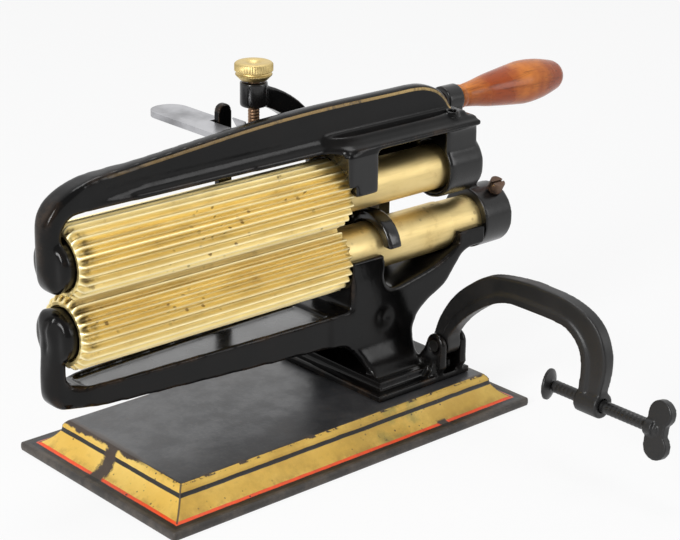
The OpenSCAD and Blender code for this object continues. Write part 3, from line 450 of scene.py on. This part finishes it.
def japan(name, striped=False, edge=0.7, rough=(0.15, 0.27), specular=0.22, coat=(0.0, 0.08),
          grey=0.0):
    """Black japan over cast iron, brown where it is rubbed through at the edges."""
    p = Paint(name)
    cloud = p.noise(45, 4)
    grit = p.noise(420, 4, 0.6)
    wave = p.noise(110, 3)
    rubbed = p.both(p.value("edge"), p.step(p.noise(75, 5, 0.65), 0.46, 0.7, 0, edge))
    chips = p.both(p.step(p.spots(150), 0.08, 0.16, 1, 0), p.step(p.noise(28), 0.58, 0.66))
    blacks = ((0.002, 0.002, 0.0021), (0.006, 0.005, 0.0046))
    chip_tone, rubbed_tone = (0.045, 0.036, 0.03), (0.085, 0.05, 0.028)
    lifted = (tuple(c + grey for c in black) for black in blacks)
    color = p.mix(p.step(cloud, 0.35, 0.75), *lifted)
    color = p.mix(p.both(chips, 0.5), color, chip_tone)
    color = p.mix(p.both(rubbed, 0.7), color, rubbed_tone)
    shine = p.step(cloud, 0.3, 0.75, *rough)
    shine = p.either(shine, p.both(p.either(rubbed, chips), 0.5))
    if striped:
        whole = p.step(p.noise(90, 5, 0.7), 0.34, 0.5, 0.25, 1)
        gilt = p.both(p.both(p.step(p.value("line"), 0.4, 0.7, 1, 0), whole), p.value("kept"))
        gold = p.mix(p.value("bright"), (0.36, 0.24, 0.1), (0.56, 0.39, 0.16))
        color = p.mix(gilt, color, gold)
        shine = p.either(shine, p.both(gilt, 0.42))
    soft = p.bump(wave, 0.22, 0.5)
    return p.set(Base_Color=color, Roughness=shine, Normal=p.bump(grit, 0.12, 0.1, soft),
                 Specular_IOR_Level=specular, Coat_Weight=coat[0], Coat_Roughness=coat[1])


def base_paint():
    """The base: black deck, gilt moulding with a black line, red line, brown ledge and wear;
    painted shade darkens the gilt on the long sides and towards the right end.
    """
    p = Paint("painted_base")
    at = p.add("ShaderNodeSeparateXYZ", 0, {0: p.at}).node
    x, y, z = (p.math("MULTIPLY", at.outputs[k], 1000.0) for k in range(3))
    shake = p.math("MULTIPLY", p.math("SUBTRACT", p.noise(140, 3), 0.5), 0.7)
    short = p.math("SUBTRACT", BASE_HALF_L, p.math("ABSOLUTE", x))
    long = p.math("SUBTRACT", BASE_HALF_W, p.math("ABSOLUTE", y))
    inset = p.math("MINIMUM", short, long)
    along = p.math("ADD", p.math("ADD", inset, z), shake)

    def band(lo, hi, soft=0.14):
        below_end = p.step(along, hi - soft, hi + soft, 1, 0)
        return p.both(p.step(along, lo - soft, lo + soft), below_end)

    def close(value, place, reach):
        away = p.math("ABSOLUTE", p.math("SUBTRACT", value, place))
        return p.step(away, 0.6 * reach, reach, 1, 0)

    cloud = p.noise(32, 5, 0.6)
    fine = p.noise(260, 4, 0.65)
    grit = p.noise(700, 4, 0.7)
    blot = p.noise(85, 5, 0.7)
    rag = p.math("MULTIPLY", p.math("SUBTRACT", blot, 0.5), 10.0)
    speck = p.both(p.step(p.spots(210), 0.08, 0.18, 1, 0), p.step(p.noise(40), 0.52, 0.64))
    freckle = p.both(p.step(p.spots(420), 0.12, 0.24, 1, 0), p.step(p.noise(150), 0.45, 0.6))

    # Colours of the paints, and painted shade on the gilt
    deck = p.mix(p.step(cloud, 0.35, 0.7), (0.02, 0.021, 0.024), (0.042, 0.042, 0.044))
    deck = p.mix(p.both(p.step(blot, 0.52, 0.72), 0.5), deck, (0.06, 0.055, 0.052))
    deck = p.mix(p.both(p.step(grit, 0.52, 0.66), 0.4), deck, (0.075, 0.072, 0.07))
    deck = p.mix(p.both(speck, 0.5), deck, (0.075, 0.065, 0.055))
    dark = p.mix(p.step(blot, 0.5, 0.75), (0.009, 0.0085, 0.0085), (0.03, 0.021, 0.016))
    ledge = p.mix(p.step(blot, 0.36, 0.66), (0.03, 0.026, 0.023), (0.085, 0.07, 0.058))
    gold = p.mix(p.step(cloud, 0.35, 0.68), (0.8, 0.51, 0.095), (0.9, 0.63, 0.16))
    gold = p.mix(p.both(p.step(fine, 0.54, 0.76), 0.3), gold, (0.42, 0.24, 0.05))
    # Gilt darkens towards the right end: partly painted shade for the light falling from the left,
    # partly a duller olive tone of the gilt.
    gold = p.mix(p.step(x, 20.0, 70.0, 0.0, 0.4), gold, (0.46, 0.32, 0.06))
    # Long sides' gilt darker and mottled: partly painted shade for the sides turned away from the
    # left light, partly dirt.
    on_long_side = p.step(p.math("SUBTRACT", long, short), 0.4, -0.4)
    dirt_and_shade = p.both(on_long_side, p.step(p.noise(48, 5, 0.7), 0.36, 0.62, 0.25, 0.7))
    gold = p.mix(dirt_and_shade, gold, (0.5, 0.3, 0.055))
    # The gilt is darker in blotches towards the foot of the cove.
    cove_foot_dark = p.both(p.step(along, 15.0, 10.5), p.step(blot, 0.42, 0.6))
    gold = p.mix(p.both(cove_foot_dark, 0.5), gold, (0.34, 0.2, 0.04))
    green = p.both(close(x, 27.0, 15.0), p.step(p.noise(120, 4), 0.45, 0.65))
    gold = p.mix(p.both(green, 0.55), gold, (0.25, 0.23, 0.07))
    red = p.mix(p.step(fine, 0.4, 0.7), (0.92, 0.09, 0.018), (0.74, 0.085, 0.025))
    rust = p.mix(fine, (0.035, 0.024, 0.018), (0.075, 0.052, 0.038))

    # Places where the paint is gone
    left = p.step(x, -76.0, -80.0)
    bare = p.both(left, close(p.math("ADD", y, rag), 5.3, 4.2))
    ragged = p.math("ADD", along, rag)
    corner = p.both(left, p.both(close(ragged, 28.2, 3.0), p.step(y, 8.0, 16.0)))
    rim = p.both(left, p.both(close(ragged, 28.5, 2.4), p.step(y, -18.0, -8.0)))
    flecks = p.both(p.both(close(x, -62.0, 17.0), p.step(along, 16.5, 13.0)), freckle)
    flecks = p.either(flecks, p.both(freckle, p.step(p.noise(55, 4), 0.47, 0.58, 0, 0.9)))
    gap = p.both(close(p.math("ADD", x, rag), 48.5, 2.6), p.step(along, 12.2, 10.6))
    near_gap = p.both(gap, p.step(y, 0.0, -5.0))
    brink = p.both(close(along, 28.3, 1.9), p.step(p.noise(230, 5, 0.7), 0.53, 0.6))
    patches = p.step(p.noise(62, 6, 0.72), 0.66, 0.72)
    edges = p.both(p.value("edge"), p.step(blot, 0.56, 0.72))
    off_mitre = p.math("ABSOLUTE", p.math("SUBTRACT", short, long))
    mitre = p.both(p.step(off_mitre, 0.35, 0.7, 1, 0), band(9, 28))
    scuffed = p.either(bare, brink, corner, rim, flecks, near_gap, patches, edges,
                       p.both(mitre, 0.9))
    stays = p.math("SUBTRACT", 1.0, scuffed)

    # The bands
    color = p.mix(p.step(along, *DECK_EDGE), dark, deck)
    color = p.mix(p.step(along, *LEDGE_EDGE), color, ledge)
    color = p.mix(p.both(scuffed, p.step(along, 8.0, 8.4)), color, rust)
    color = p.mix(p.both(band(*TOP_GILT), stays), color, gold)
    color = p.mix(p.both(band(*COVE_GILT), stays), color, gold)
    color = p.mix(p.both(band(*RED_LINE), stays), color, red)

    gilded = p.both(p.either(band(*COVE_GILT), band(*TOP_GILT)), stays)
    rough = p.step(blot, 0.34, 0.66, 0.32, 0.54)
    rough = p.either(rough, p.both(scuffed, 0.6), p.both(gilded, 0.5))
    rough = p.either(rough, p.step(along, *LEDGE_EDGE, 0.0, 0.5))
    soft = p.bump(p.noise(95, 3), 0.2, 0.5)
    grain = p.bump(grit, 0.3, 0.14, p.bump(fine, 0.4, 0.22, soft))
    flake = p.bump(scuffed, 0.35, 0.08, grain)
    return p.set(Base_Color=color, Roughness=rough, Metallic=p.both(gilded, 0.3), Normal=flake,
                 Coat_Weight=p.step(along, *DECK_EDGE, 0.0, 0.5), Coat_Roughness=0.34)


def brass(name, tones, groove=False):
    """Tarnished brass, spotted with brown; fluted, it has a painted highlight along the crests,
    painted shade in the groove bottoms and darker grooves towards their front ends.
    """
    p = Paint(name)
    cloud = p.noise(26, 5, 0.6)
    streak = p.noise(1, 4, 0.6, p.stretched(40, 420, 420))
    blot = p.noise(75, 5, 0.7)
    spots = p.both(p.step(p.spots(230), 0.12, 0.26, 1, 0), p.step(p.noise(34), 0.54, 0.64))
    color = p.mix(p.step(cloud, 0.3, 0.7), *tones)
    color = p.mix(p.step(streak, 0.45, 0.75, 0, 0.45), color, tuple(0.72 * c for c in tones[1]))
    color = p.mix(p.step(blot, 0.58, 0.82, 0, 0.55), color, (0.4, 0.24, 0.085))
    color = p.mix(p.both(spots, 0.8 if groove else 0.4), color, (0.14, 0.07, 0.03))
    rough = p.step(blot, 0.35, 0.75, 0.42, 0.54)
    if groove:
        depth = p.value("groove")
        along = p.add("ShaderNodeSeparateXYZ", 0, {0: p.at})
        front = p.both(p.step(along, -0.097, -0.103), p.step(p.noise(160, 4), 0.42, 0.58))
        # Painted highlight: pale lines along the crests of the flutes.
        color = p.mix(p.step(depth, 0.06, 0.34, 0.8, 0.0), color, (0.95, 0.84, 0.52))
        # Painted shade: dark brown in the bottoms of the grooves.
        groove_shade = p.step(p.math("ADD", depth, p.step(streak, 0.3, 0.7, -0.08, 0.08)), 0.8, 1.04)
        color = p.mix(p.both(groove_shade, 0.5), color, (0.36, 0.23, 0.07))
        color = p.mix(p.both(front, p.step(depth, 0.2, 0.7, 0, 0.85)), color, (0.1, 0.07, 0.035))
        rough = p.either(rough, p.step(blot, 0.3, 0.75, 0.46, 0.58))
    scratch = p.bump(streak, 0.12, 0.1)
    return p.set(Base_Color=color, Metallic=1.0, Roughness=rough,
                 Normal=p.bump(blot, 0.08, 0.12, scratch))


def steel(name, tone, rust):
    """Plain steel, dulled and freckled with rust."""
    p = Paint(name)
    cloud = p.noise(60, 4)
    fine = p.noise(500, 4, 0.6)
    bloom = p.step(p.noise(130, 5, 0.7), 0.7 - 0.35 * rust, 0.78 - 0.2 * rust)
    dull = tuple(0.55 * c for c in tone)
    color = p.mix(p.step(cloud, 0.35, 0.7), tone, dull)
    color = p.mix(p.both(bloom, 0.85), color, (0.13, 0.06, 0.03))
    metal = p.step(bloom, 0.2, 0.8, 1.0, 0.3)
    rough = p.either(p.step(cloud, 0.3, 0.7, 0.3, 0.46), p.both(bloom, 0.7))
    return p.set(Base_Color=color, Metallic=metal, Roughness=rough, Normal=p.bump(fine, 0.15, 0.08))


def varnished_wood():
    """Orange-brown varnish over a close grain that runs along the grip."""
    p = Paint("varnished_wood")
    grain = p.noise(1, 5, 0.65, p.stretched(28, 420, 420), 0.4)
    pores = p.noise(1, 3, 0.6, p.stretched(90, 1500, 1500))
    cloud = p.noise(38, 4)
    color = p.mix(p.step(cloud, 0.36, 0.66), (0.4, 0.075, 0.016), (0.78, 0.26, 0.05))
    color = p.mix(p.step(grain, 0.5, 0.72, 0, 0.6), color, (0.13, 0.03, 0.012))
    color = p.mix(p.step(pores, 0.56, 0.72, 0, 0.4), color, (0.09, 0.026, 0.01))
    rough = p.step(cloud, 0.3, 0.7, 0.24, 0.4)
    return p.set(Base_Color=color, Roughness=rough, Normal=p.bump(pores, 0.15, 0.06),
                 Specular_IOR_Level=0.25, Coat_Weight=0.12, Coat_Roughness=0.15)


def scaled_iron():
    """Bare iron, scaled by heat."""
    p = Paint("heater_iron")
    flake = p.noise(180, 6, 0.7)
    cloud = p.noise(40, 4)
    color = p.mix(p.step(cloud, 0.35, 0.7), (0.055, 0.05, 0.048), (0.1, 0.07, 0.05))
    color = p.mix(p.step(flake, 0.58, 0.72), color, (0.16, 0.11, 0.08))
    rough = p.step(flake, 0.3, 0.7, 0.5, 0.75)
    return p.set(Base_Color=color, Metallic=0.6, Roughness=rough, Normal=p.bump(flake, 0.5, 0.3))


# Pieces

def web_line(mesh):
    """Marks the gilt line under the web's top edge: where it runs, is kept and is bright."""
    line_inset, near_face_y = 1.3, -2.6
    co, n = places(mesh), normals(mesh)
    top = curve(WEB_TOP, 24)
    flat = co[:, [0, 2]]
    reach = np.full(len(co), 99.0)
    for a, b in zip(top[:-1], top[1:]):
        span = b - a
        t = np.clip(((flat - a) @ span) / (span @ span), 0, 1)
        reach = np.minimum(reach, np.linalg.norm(flat - a - t[:, None] * span, axis=1))
    put(mesh, "line", np.abs(reach - line_inset))
    side = (n[:, 1] < -0.35) * (np.abs(co[:, 1] - near_face_y) < 1.6) * (co[:, 2] > 120.5)
    fresh = 0.6 + 0.4 * smoothstep(-60, 10, co[:, 0])
    put(mesh, "kept", side * fresh * smoothstep(-95, -70, co[:, 0]))
    put(mesh, "bright", smoothstep(30, 70, co[:, 0]))


def rub_hook(mesh):
    """More brown where hands have worn the front of the upper frame's hook."""
    x, y, z = places(mesh).T
    edge = mesh.attributes["edge"].data
    held = np.empty(len(x), np.float32)
    edge.foreach_get("value", held)
    worn = 0.75 * smoothstep(-100, -112, x) * smoothstep(-4, 2, y + 0.12 * (z - 100))
    edge.foreach_set("value", np.maximum(held, worn).astype(np.float32))


def roller_mesh(name, z, crest_up, journal):
    """A fluted barrel with rounded flute ends, a recessed front face and a hollow journal."""
    around = FLUTES * 16
    wave = (0.5 + (0.5 if crest_up else -0.5) * np.cos(FLUTES * angles(around))) ** 1.6
    flute_h, round_l, end_l, chamfer, straight = TIP_R - ROOT_R, 2.9, 1.2, 0.4, 6
    front = [(BORE_END, TRUNNION_R), (-102.5, TRUNNION_R), (-102.5, 10.2), (-102.9, 10.75),
             (-106.3, 10.8), (BARREL_X0, 11), (BARREL_X0, ROOT_R - 0.35)]
    rings, depth = [], []

    def ring(x, r, groove=0.5):
        rings.append(ring_x(x, r, 0, z, around))
        depth.append(np.broadcast_to(groove, around))

    for x, r in front:
        ring(x, r)
    for t in (0.05, 0.2, 0.35, 0.5, 0.65, 0.8, 1):
        lift = 1 - (1 - t) ** 1.7
        ring(BARREL_X0 + round_l * t, ROOT_R - 0.3 * (1 - lift) + flute_h * wave * lift,
             (1 - wave) * lift)
    for x in np.linspace(BARREL_X0 + straight, BARREL_X1 - straight, 24):
        ring(x, ROOT_R + flute_h * wave, 1 - wave)
    for x in (end_l, 0.7, 0.3, 0):
        drop = 1.1 * (1 - math.sqrt(max(1 - (1 - x / end_l) ** 2, 0)))
        ring(BARREL_X1 - x, ROOT_R + flute_h * wave * (1 - 0.5 * drop) - 0.3 * drop, 1 - wave)
    ring(BARREL_X1, journal[0][1] + 0.5)
    ring(BARREL_X1 + 0.5, journal[0][1])
    for x, r in journal:
        ring(x - chamfer, r)
        ring(x, r - chamfer)
    rear = journal[-1][0]
    ring(rear, BORE_R + chamfer)
    ring(rear - chamfer, BORE_R)
    ring(BORE_END, BORE_R)
    mesh = turned_mesh(name, rings)
    put(mesh, "groove", np.concatenate(depth))
    return mesh


def grip_mesh():
    """The turned wooden grip, with a bead and a swelling belly, round the bore for its spindle."""
    x0, length, bore, sunk_r, sunk_l = 111.0, 64.0, 3.05, 4.05, 1.6
    bead = curve([(0.1, 4.7), (0.5, 5.15), (1.6, 5.32), (2.7, 5.15), (3.2, 4.72), (3.9, 4.66)], 5)
    belly = curve([(4.6, 4.85), (5.6, 5.1), (11.6, 5.9), (19.6, 7.3), (34.6, 9.1), (42.2, 9.7),
                   (51.2, 9), (60.2, 7.1), (62.2, 6.3), (63.3, 5.7), (63.8, 5.2)], 7)
    end = [(length, 4.8), (length, sunk_r), (length - sunk_l, sunk_r), (length - sunk_l, bore)]
    profile = [(0, bore), (0, 4.3), *bead, *belly, *end]
    rings = [ring_x(x0 + x, r, HANDLE_Y, HANDLE_Z, 72) for x, r in profile]
    return turned_mesh("grip", rings, sharp=50)


def thumb_screw_mesh():
    """The pressure screw: a threaded shank under a head with two knurled rims."""
    around, ridges, ridge_h = 144, 48, 0.16
    shank_r, thread_h, pitch = 2.3, 0.06, 1.25
    angle = angles(around)
    knurl = ridge_h * np.cos(ridges * angle)
    rings = []

    def ring(z, r):
        rings.append(ring_z(z, r, THUMB_X, THUMB_Y, around))

    ring(THUMB_TIP, 0.05)
    ring(THUMB_TIP, 1.6)
    for z in np.arange(THUMB_TIP + 0.8, THUMB_SEAT - 0.2, pitch / 8):
        ring(z, shank_r + thread_h * np.cos(angle - (z - THUMB_TIP) / pitch * 2 * math.pi))
    above_seat = [
        (0, 5.2, 0), (0.2, 5.6, 0), (1.7, 7.0, 0), (2.1, 7.25, 1), (2.5, 7.25, 1), (2.75, 6.9, 0),
        (2.95, 6.7, 0), (3.3, 6.7, 0), (3.55, 7.2, 0), (3.85, 7.62, 1),
    ]
    below_top = [
        (0.75, 7.62, 1), (0.25, 7.3, 0), (0, 6.8, 0), (0, 3.4, 0), (0.4, 2.6, 0), (1, 1.5, 0),
        (1, 0.05, 0),
    ]
    for z, r, knurled in above_seat:
        ring(THUMB_SEAT + z, r + knurled * knurl)
    for z, r, knurled in below_top:
        ring(THUMB_TOP - z, r + knurled * knurl)
    return turned_mesh("thumb_screw", rings, closed=False, sharp=45)


def clamp_screw_mesh():
    """The clamp's screw: the wing softened as a casting, and a thread along the shank."""
    shank_r, thread_h, pitch, shank_y0, shank_y1 = 2.52, 0.045, 2.0, -136.5, -90.5
    mesh = cast_mesh("clamp_screw", "clamp_screw", voxel=0.4, passes=3)
    co = places(mesh)
    axis = np.array([CLAMP_X, CLAMP_SCREW_Z])
    off = co[:, [0, 2]] - axis
    r = np.linalg.norm(off, axis=1)
    turn = np.arctan2(off[:, 1], off[:, 0])
    shank = (r > 2.1) & (r < 2.95) & (co[:, 1] > shank_y0) & (co[:, 1] < shank_y1)
    thread = shank_r + thread_h * np.cos(turn - co[:, 1] / pitch * 2 * math.pi)
    co[np.ix_(shank, [0, 2])] = axis + off[shank] * (thread / r)[shank][:, None]
    set_places(mesh, co)
    return mesh


def everywhere(x, y, z):
    """The whole of a small casting."""
    return np.ones_like(x)


def hook_zone(x, y, z):
    """The round front uprights, without the drums that they hold in the rollers' ends."""
    bar = smoothstep(-107.8, -109.6, x)
    bend = smoothstep(-94, -102, x) * (smoothstep(110, 113, z) + smoothstep(54, 51, z))
    return np.maximum(bar, bend)


HOOK_SOFTNESS = (hook_zone, 26, 0.32)


def upper_zones():
    """Where the upper frame is softer than the rest: its hook, web, hollow flange and bearings."""
    def flange(x, y, z):
        level = smoothstep(112, 114, z) * smoothstep(127, 124, z)
        return smoothstep(-100, -92, x) * smoothstep(-2.6, -3.4, y) * level

    def bearings(x, y, z):
        return smoothstep(18, 20, x) * smoothstep(117, 115, z)

    def web(x, y, z):
        return smoothstep(-98, -92, x) * smoothstep(122, 124, z)

    return HOOK_SOFTNESS, (web, 24, 0.2), (flange, 16, 0.12), (bearings, 10, 0.15)


def upper_marks(x, y, z):
    """Height of the raised rim of the oil hole beside the web, and the depth of the hole."""
    rim_h, rim_r, rim_w, hole_depth = 0.75, 2.3, 0.6, 2.6
    r = np.hypot(x - OIL_X, y - OIL_Y)
    rim = rim_h * np.exp(-((r - rim_r) / rim_w) ** 2)
    hole = -hole_depth * smoothstep(1.9, 1.1, r)
    return (rim + hole) * (z > FLANGE_TOP - 1.3)


def lower_zones():
    """Where the lower frame is softer than the rest: its hook, its arm and its pedestal."""
    def arm(x, y, z):
        return smoothstep(-100, -92, x) * smoothstep(24, 18, x) * smoothstep(52, 50, z)

    def pedestal(x, y, z):
        return smoothstep(18, 24, x) * smoothstep(20.5, 23, z) * smoothstep(64, 60, z)

    return HOOK_SOFTNESS, (arm, 4, 0.1), (pedestal, 22, 0.15)


def lower_marks(x, y, z):
    """Depth of a shallow dimple in the pedestal, and of the fold down the front of the hook."""
    dimple_depth, fold_depth, fold_w = 1.1, 0.6, 0.9
    spread = (x - DIMPLE_X) ** 2 + (z - DIMPLE_Z) ** 2
    dimple = -dimple_depth * np.exp(-spread / 14) * (y < -8)
    fold_y = np.interp(z, [62, 68.1, 72.6, 79.9], [0.2, 0.2, -0.7, -4])
    fade = np.interp(z, [63, 67, 76, 79], [0, 1, 1, 0])
    groove = -fold_depth * fade * np.exp(-((y - fold_y) / fold_w) ** 2) * (x < -110)
    return dimple + groove


def in_tray(at, normal):
    """The floor of the lower arm's tray, where the paint has pooled."""
    return normal.z > 0.8 and -108 < at.x < 24 and 44 < at.z < 48.6


def on_bearings(at, normal):
    """The duller bearings under the rear of the upper frame."""
    return at.x > 20 and at.z < 115


def on_journal(at, normal):
    """The smooth part of a roller."""
    return at.x > BARREL_X1 + 0.2


def on_shank(at, normal):
    """The tarnished shank of the pressure screw."""
    return at.z < THUMB_SEAT - 0.02


def cast_piece(name, node, body, material, slot="japanned_iron", **form):
    """A casting in the place of its CAD node."""
    return piece(name, cast_mesh(name, node, **form), node, body, material)


def build_castings():
    """The base, the frames, the crank, the clamp and the small castings."""
    black = japan("japanned_iron")
    striped = japan("japanned_iron_lined", striped=True)
    dull = japan("japanned_iron_dull", edge=0.12, rough=(0.2, 0.34), specular=0.46)
    plain = japan("japanned_iron_plain", edge=0.04, rough=(0.34, 0.48), specular=0.45, grey=0.007)
    glossy = japan("japanned_iron_glossy", edge=0.2, rough=(0.14, 0.26), specular=0.5, grey=0.003)
    pooled = japan("japanned_iron_pooled", edge=0.3, rough=(0.22, 0.36), specular=0.5,
                   coat=(1.0, 0.2))

    cast_piece("base_casting", "base", "stand", base_paint(), slot="painted_base", voxel=0.7,
               passes=3)
    lower = cast_piece("lower_frame_casting", "lower_frame", "stand", black, voxel=0.6, passes=6,
                       bores=LOWER_BORES, zones=lower_zones(), shape_up=lower_marks)
    second_material(lower, pooled, in_tray)
    upper = cast_piece("upper_frame_casting", "upper_frame", "upper_arm", striped, voxel=0.6,
                       passes=6, bores=UPPER_BORES, zones=upper_zones(), shape_up=upper_marks)
    web_line(upper.data)
    rub_hook(upper.data)
    second_material(upper, dull, on_bearings)
    cast_piece("pressure_bracket_casting", "pressure_bracket", "stand", glossy, voxel=0.55,
               passes=6)
    cast_piece("journal_hook_casting", "journal_hook", "stand", glossy, voxel=0.4, passes=6,
               bores=HOOK_BORES, zones=((everywhere, 16, 0.3),))
    cast_piece("guide_post_casting", "guide_post", "stand", black, voxel=0.4, passes=4)
    cast_piece("crank_casting", "crank", "lower_roll", dull, voxel=0.5, passes=6)
    cast_piece("clamp_casting", "clamp_body", "clamp", plain, voxel=0.5, passes=8,
               bores=CLAMP_BORES)
    cast_piece("clamp_pad_casting", "clamp_pad", "clamp_pad", plain, voxel=0.3, passes=3)
    piece("clamp_screw_threaded", clamp_screw_mesh(), "clamp_screw", "clamp_screw",
          plain)


def build_turned():
    """The rollers, the pressure screw and the grip."""
    fluted = brass("brass_fluted", ((0.98, 0.8, 0.37), (0.91, 0.72, 0.3)), groove=True)
    plain = brass("brass", ((0.88, 0.7, 0.34), (0.79, 0.61, 0.27)))
    knob = brass("brass_knob", ((0.72, 0.57, 0.27), (0.62, 0.48, 0.21)))
    brown = brass("brass_tarnished", ((0.42, 0.27, 0.16), (0.3, 0.18, 0.11)))

    for side, z, crest_up, journal in (("lower", LOW_Z, True, LOWER_JOURNAL),
                                       ("upper", UP_Z, False, UPPER_JOURNAL)):
        name = side + "_roller_turned"
        mesh = roller_mesh(name, z, crest_up, journal)
        roller = piece(name, mesh, side + "_roller", side + "_roll", fluted)
        second_material(roller, plain, on_journal)
    screw = piece("thumb_screw_turned", thumb_screw_mesh(), "thumb_screw", "thumb_screw",
                  knob)
    second_material(screw, brown, on_shank)
    piece("grip_turned", grip_mesh(), "grip", "grip", varnished_wood())


def dress_nodes():
    """Materials and rounded edges for the CAD nodes that stay as they are, and the leaf spring."""
    bright = steel("steel", tone=(0.5, 0.5, 0.52), rust=0.15)
    dull = steel("steel_dull", tone=(0.1, 0.095, 0.09), rust=0.5)
    rusty = steel("steel_rusty", tone=(0.22, 0.16, 0.12), rust=1.0)
    plan = {
        bright: ["lift_plate", "lift_plate_screws", "leaf_screw", "hinge_pin"],
        dull: ["base_screws", "hook_screws", "guide_post_screws", "bracket_screws", "clamp_pin",
               "lower_trunnion", "upper_trunnion"],
        rusty: ["crank_set_screw", "grip_spindle"],
        scaled_iron(): ["lower_slug", "upper_slug"],
    }
    for material, names in plan.items():
        for name in names:
            nodes[name].data.materials.clear()
            nodes[name].data.materials.append(material)
            round_edges(nodes[name])
    leaf = nodes["leaf_spring"].data.copy()
    leaf.materials.clear()
    spring = piece("leaf_spring_pressed", leaf, "leaf_spring", "upper_arm", bright)
    round_edges(spring)
    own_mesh(spring)


# Stage

def add_floor():
    """A pale floor that keeps the object's soft shadow."""
    mesh = bpy.data.meshes.new("floor")
    signs = ((-1, -1), (1, -1), (1, 1), (-1, 1))
    corners = [(x * FLOOR_REACH, y * FLOOR_REACH, 0) for x, y in signs]
    mesh.from_pydata(corners, [], [(0, 1, 2, 3)])
    floor = bpy.data.objects.new("floor", mesh)
    scene.collection.objects.link(floor)
    material = bpy.data.materials.new("floor")
    material.use_nodes = True
    material.node_tree.nodes.clear()
    t = Tree(material.node_tree)
    matte = t.add("ShaderNodeBsdfDiffuse", 0, {"Color": (0.9, 0.9, 0.91)})
    glow = t.add("ShaderNodeEmission", 0, {"Color": (1, 1, 1), "Strength": 1.0})
    share = t.math("MULTIPLY", t.seen_white(), FLOOR_WHITE)
    blend = t.add("ShaderNodeMixShader", 0, {0: share, 1: matte, 2: glow})
    t.output("ShaderNodeOutputMaterial", blend)
    mesh.materials.append(material)


def add_world():
    """Even light, and a white backdrop behind the object that fades towards the viewer's side."""
    world = bpy.data.worlds.new("studio")
    scene.world = world
    world.use_nodes = True
    world.node_tree.nodes.clear()
    t = Tree(world.node_tree)
    heading = t.add("ShaderNodeTexCoord", "Generated")
    behind = t.add("ShaderNodeVectorMath", "Value", {0: heading, 1: BEHIND},
                   operation="DOT_PRODUCT")
    fade = t.step(behind, BACKDROP_START, BACKDROP_END, BACKDROP_DIM, BACKDROP_FULL)
    light = t.add("ShaderNodeBackground", 0, {"Color": (0.96, 0.98, 1), "Strength": EVEN_LIGHT})
    white = t.add("ShaderNodeBackground", 0, {"Color": (1, 1, 1), "Strength": fade})
    blend = t.add("ShaderNodeMixShader", 0, {0: t.seen_white(), 1: light, 2: white})
    t.output("ShaderNodeOutputWorld", blend)


def add_lamp(name, place, size, power):
    """A soft oval lamp that points at the object."""
    data = bpy.data.lights.new(name, "AREA")
    data.shape = "ELLIPSE"
    data.size, data.size_y = size
    data.energy = power
    lamp = bpy.data.objects.new(name, data)
    lamp.location = place
    lamp.rotation_euler = (Vector(LAMP_AIM) - Vector(place)).to_track_quat("-Z", "Y").to_euler()
    scene.collection.objects.link(lamp)


scene.view_settings.view_transform = "Standard"
add_camera()
build_castings()
build_turned()
dress_nodes()
add_floor()
add_world()
for lamp_name, lamp in LAMPS.items():
    add_lamp(lamp_name, *lamp)
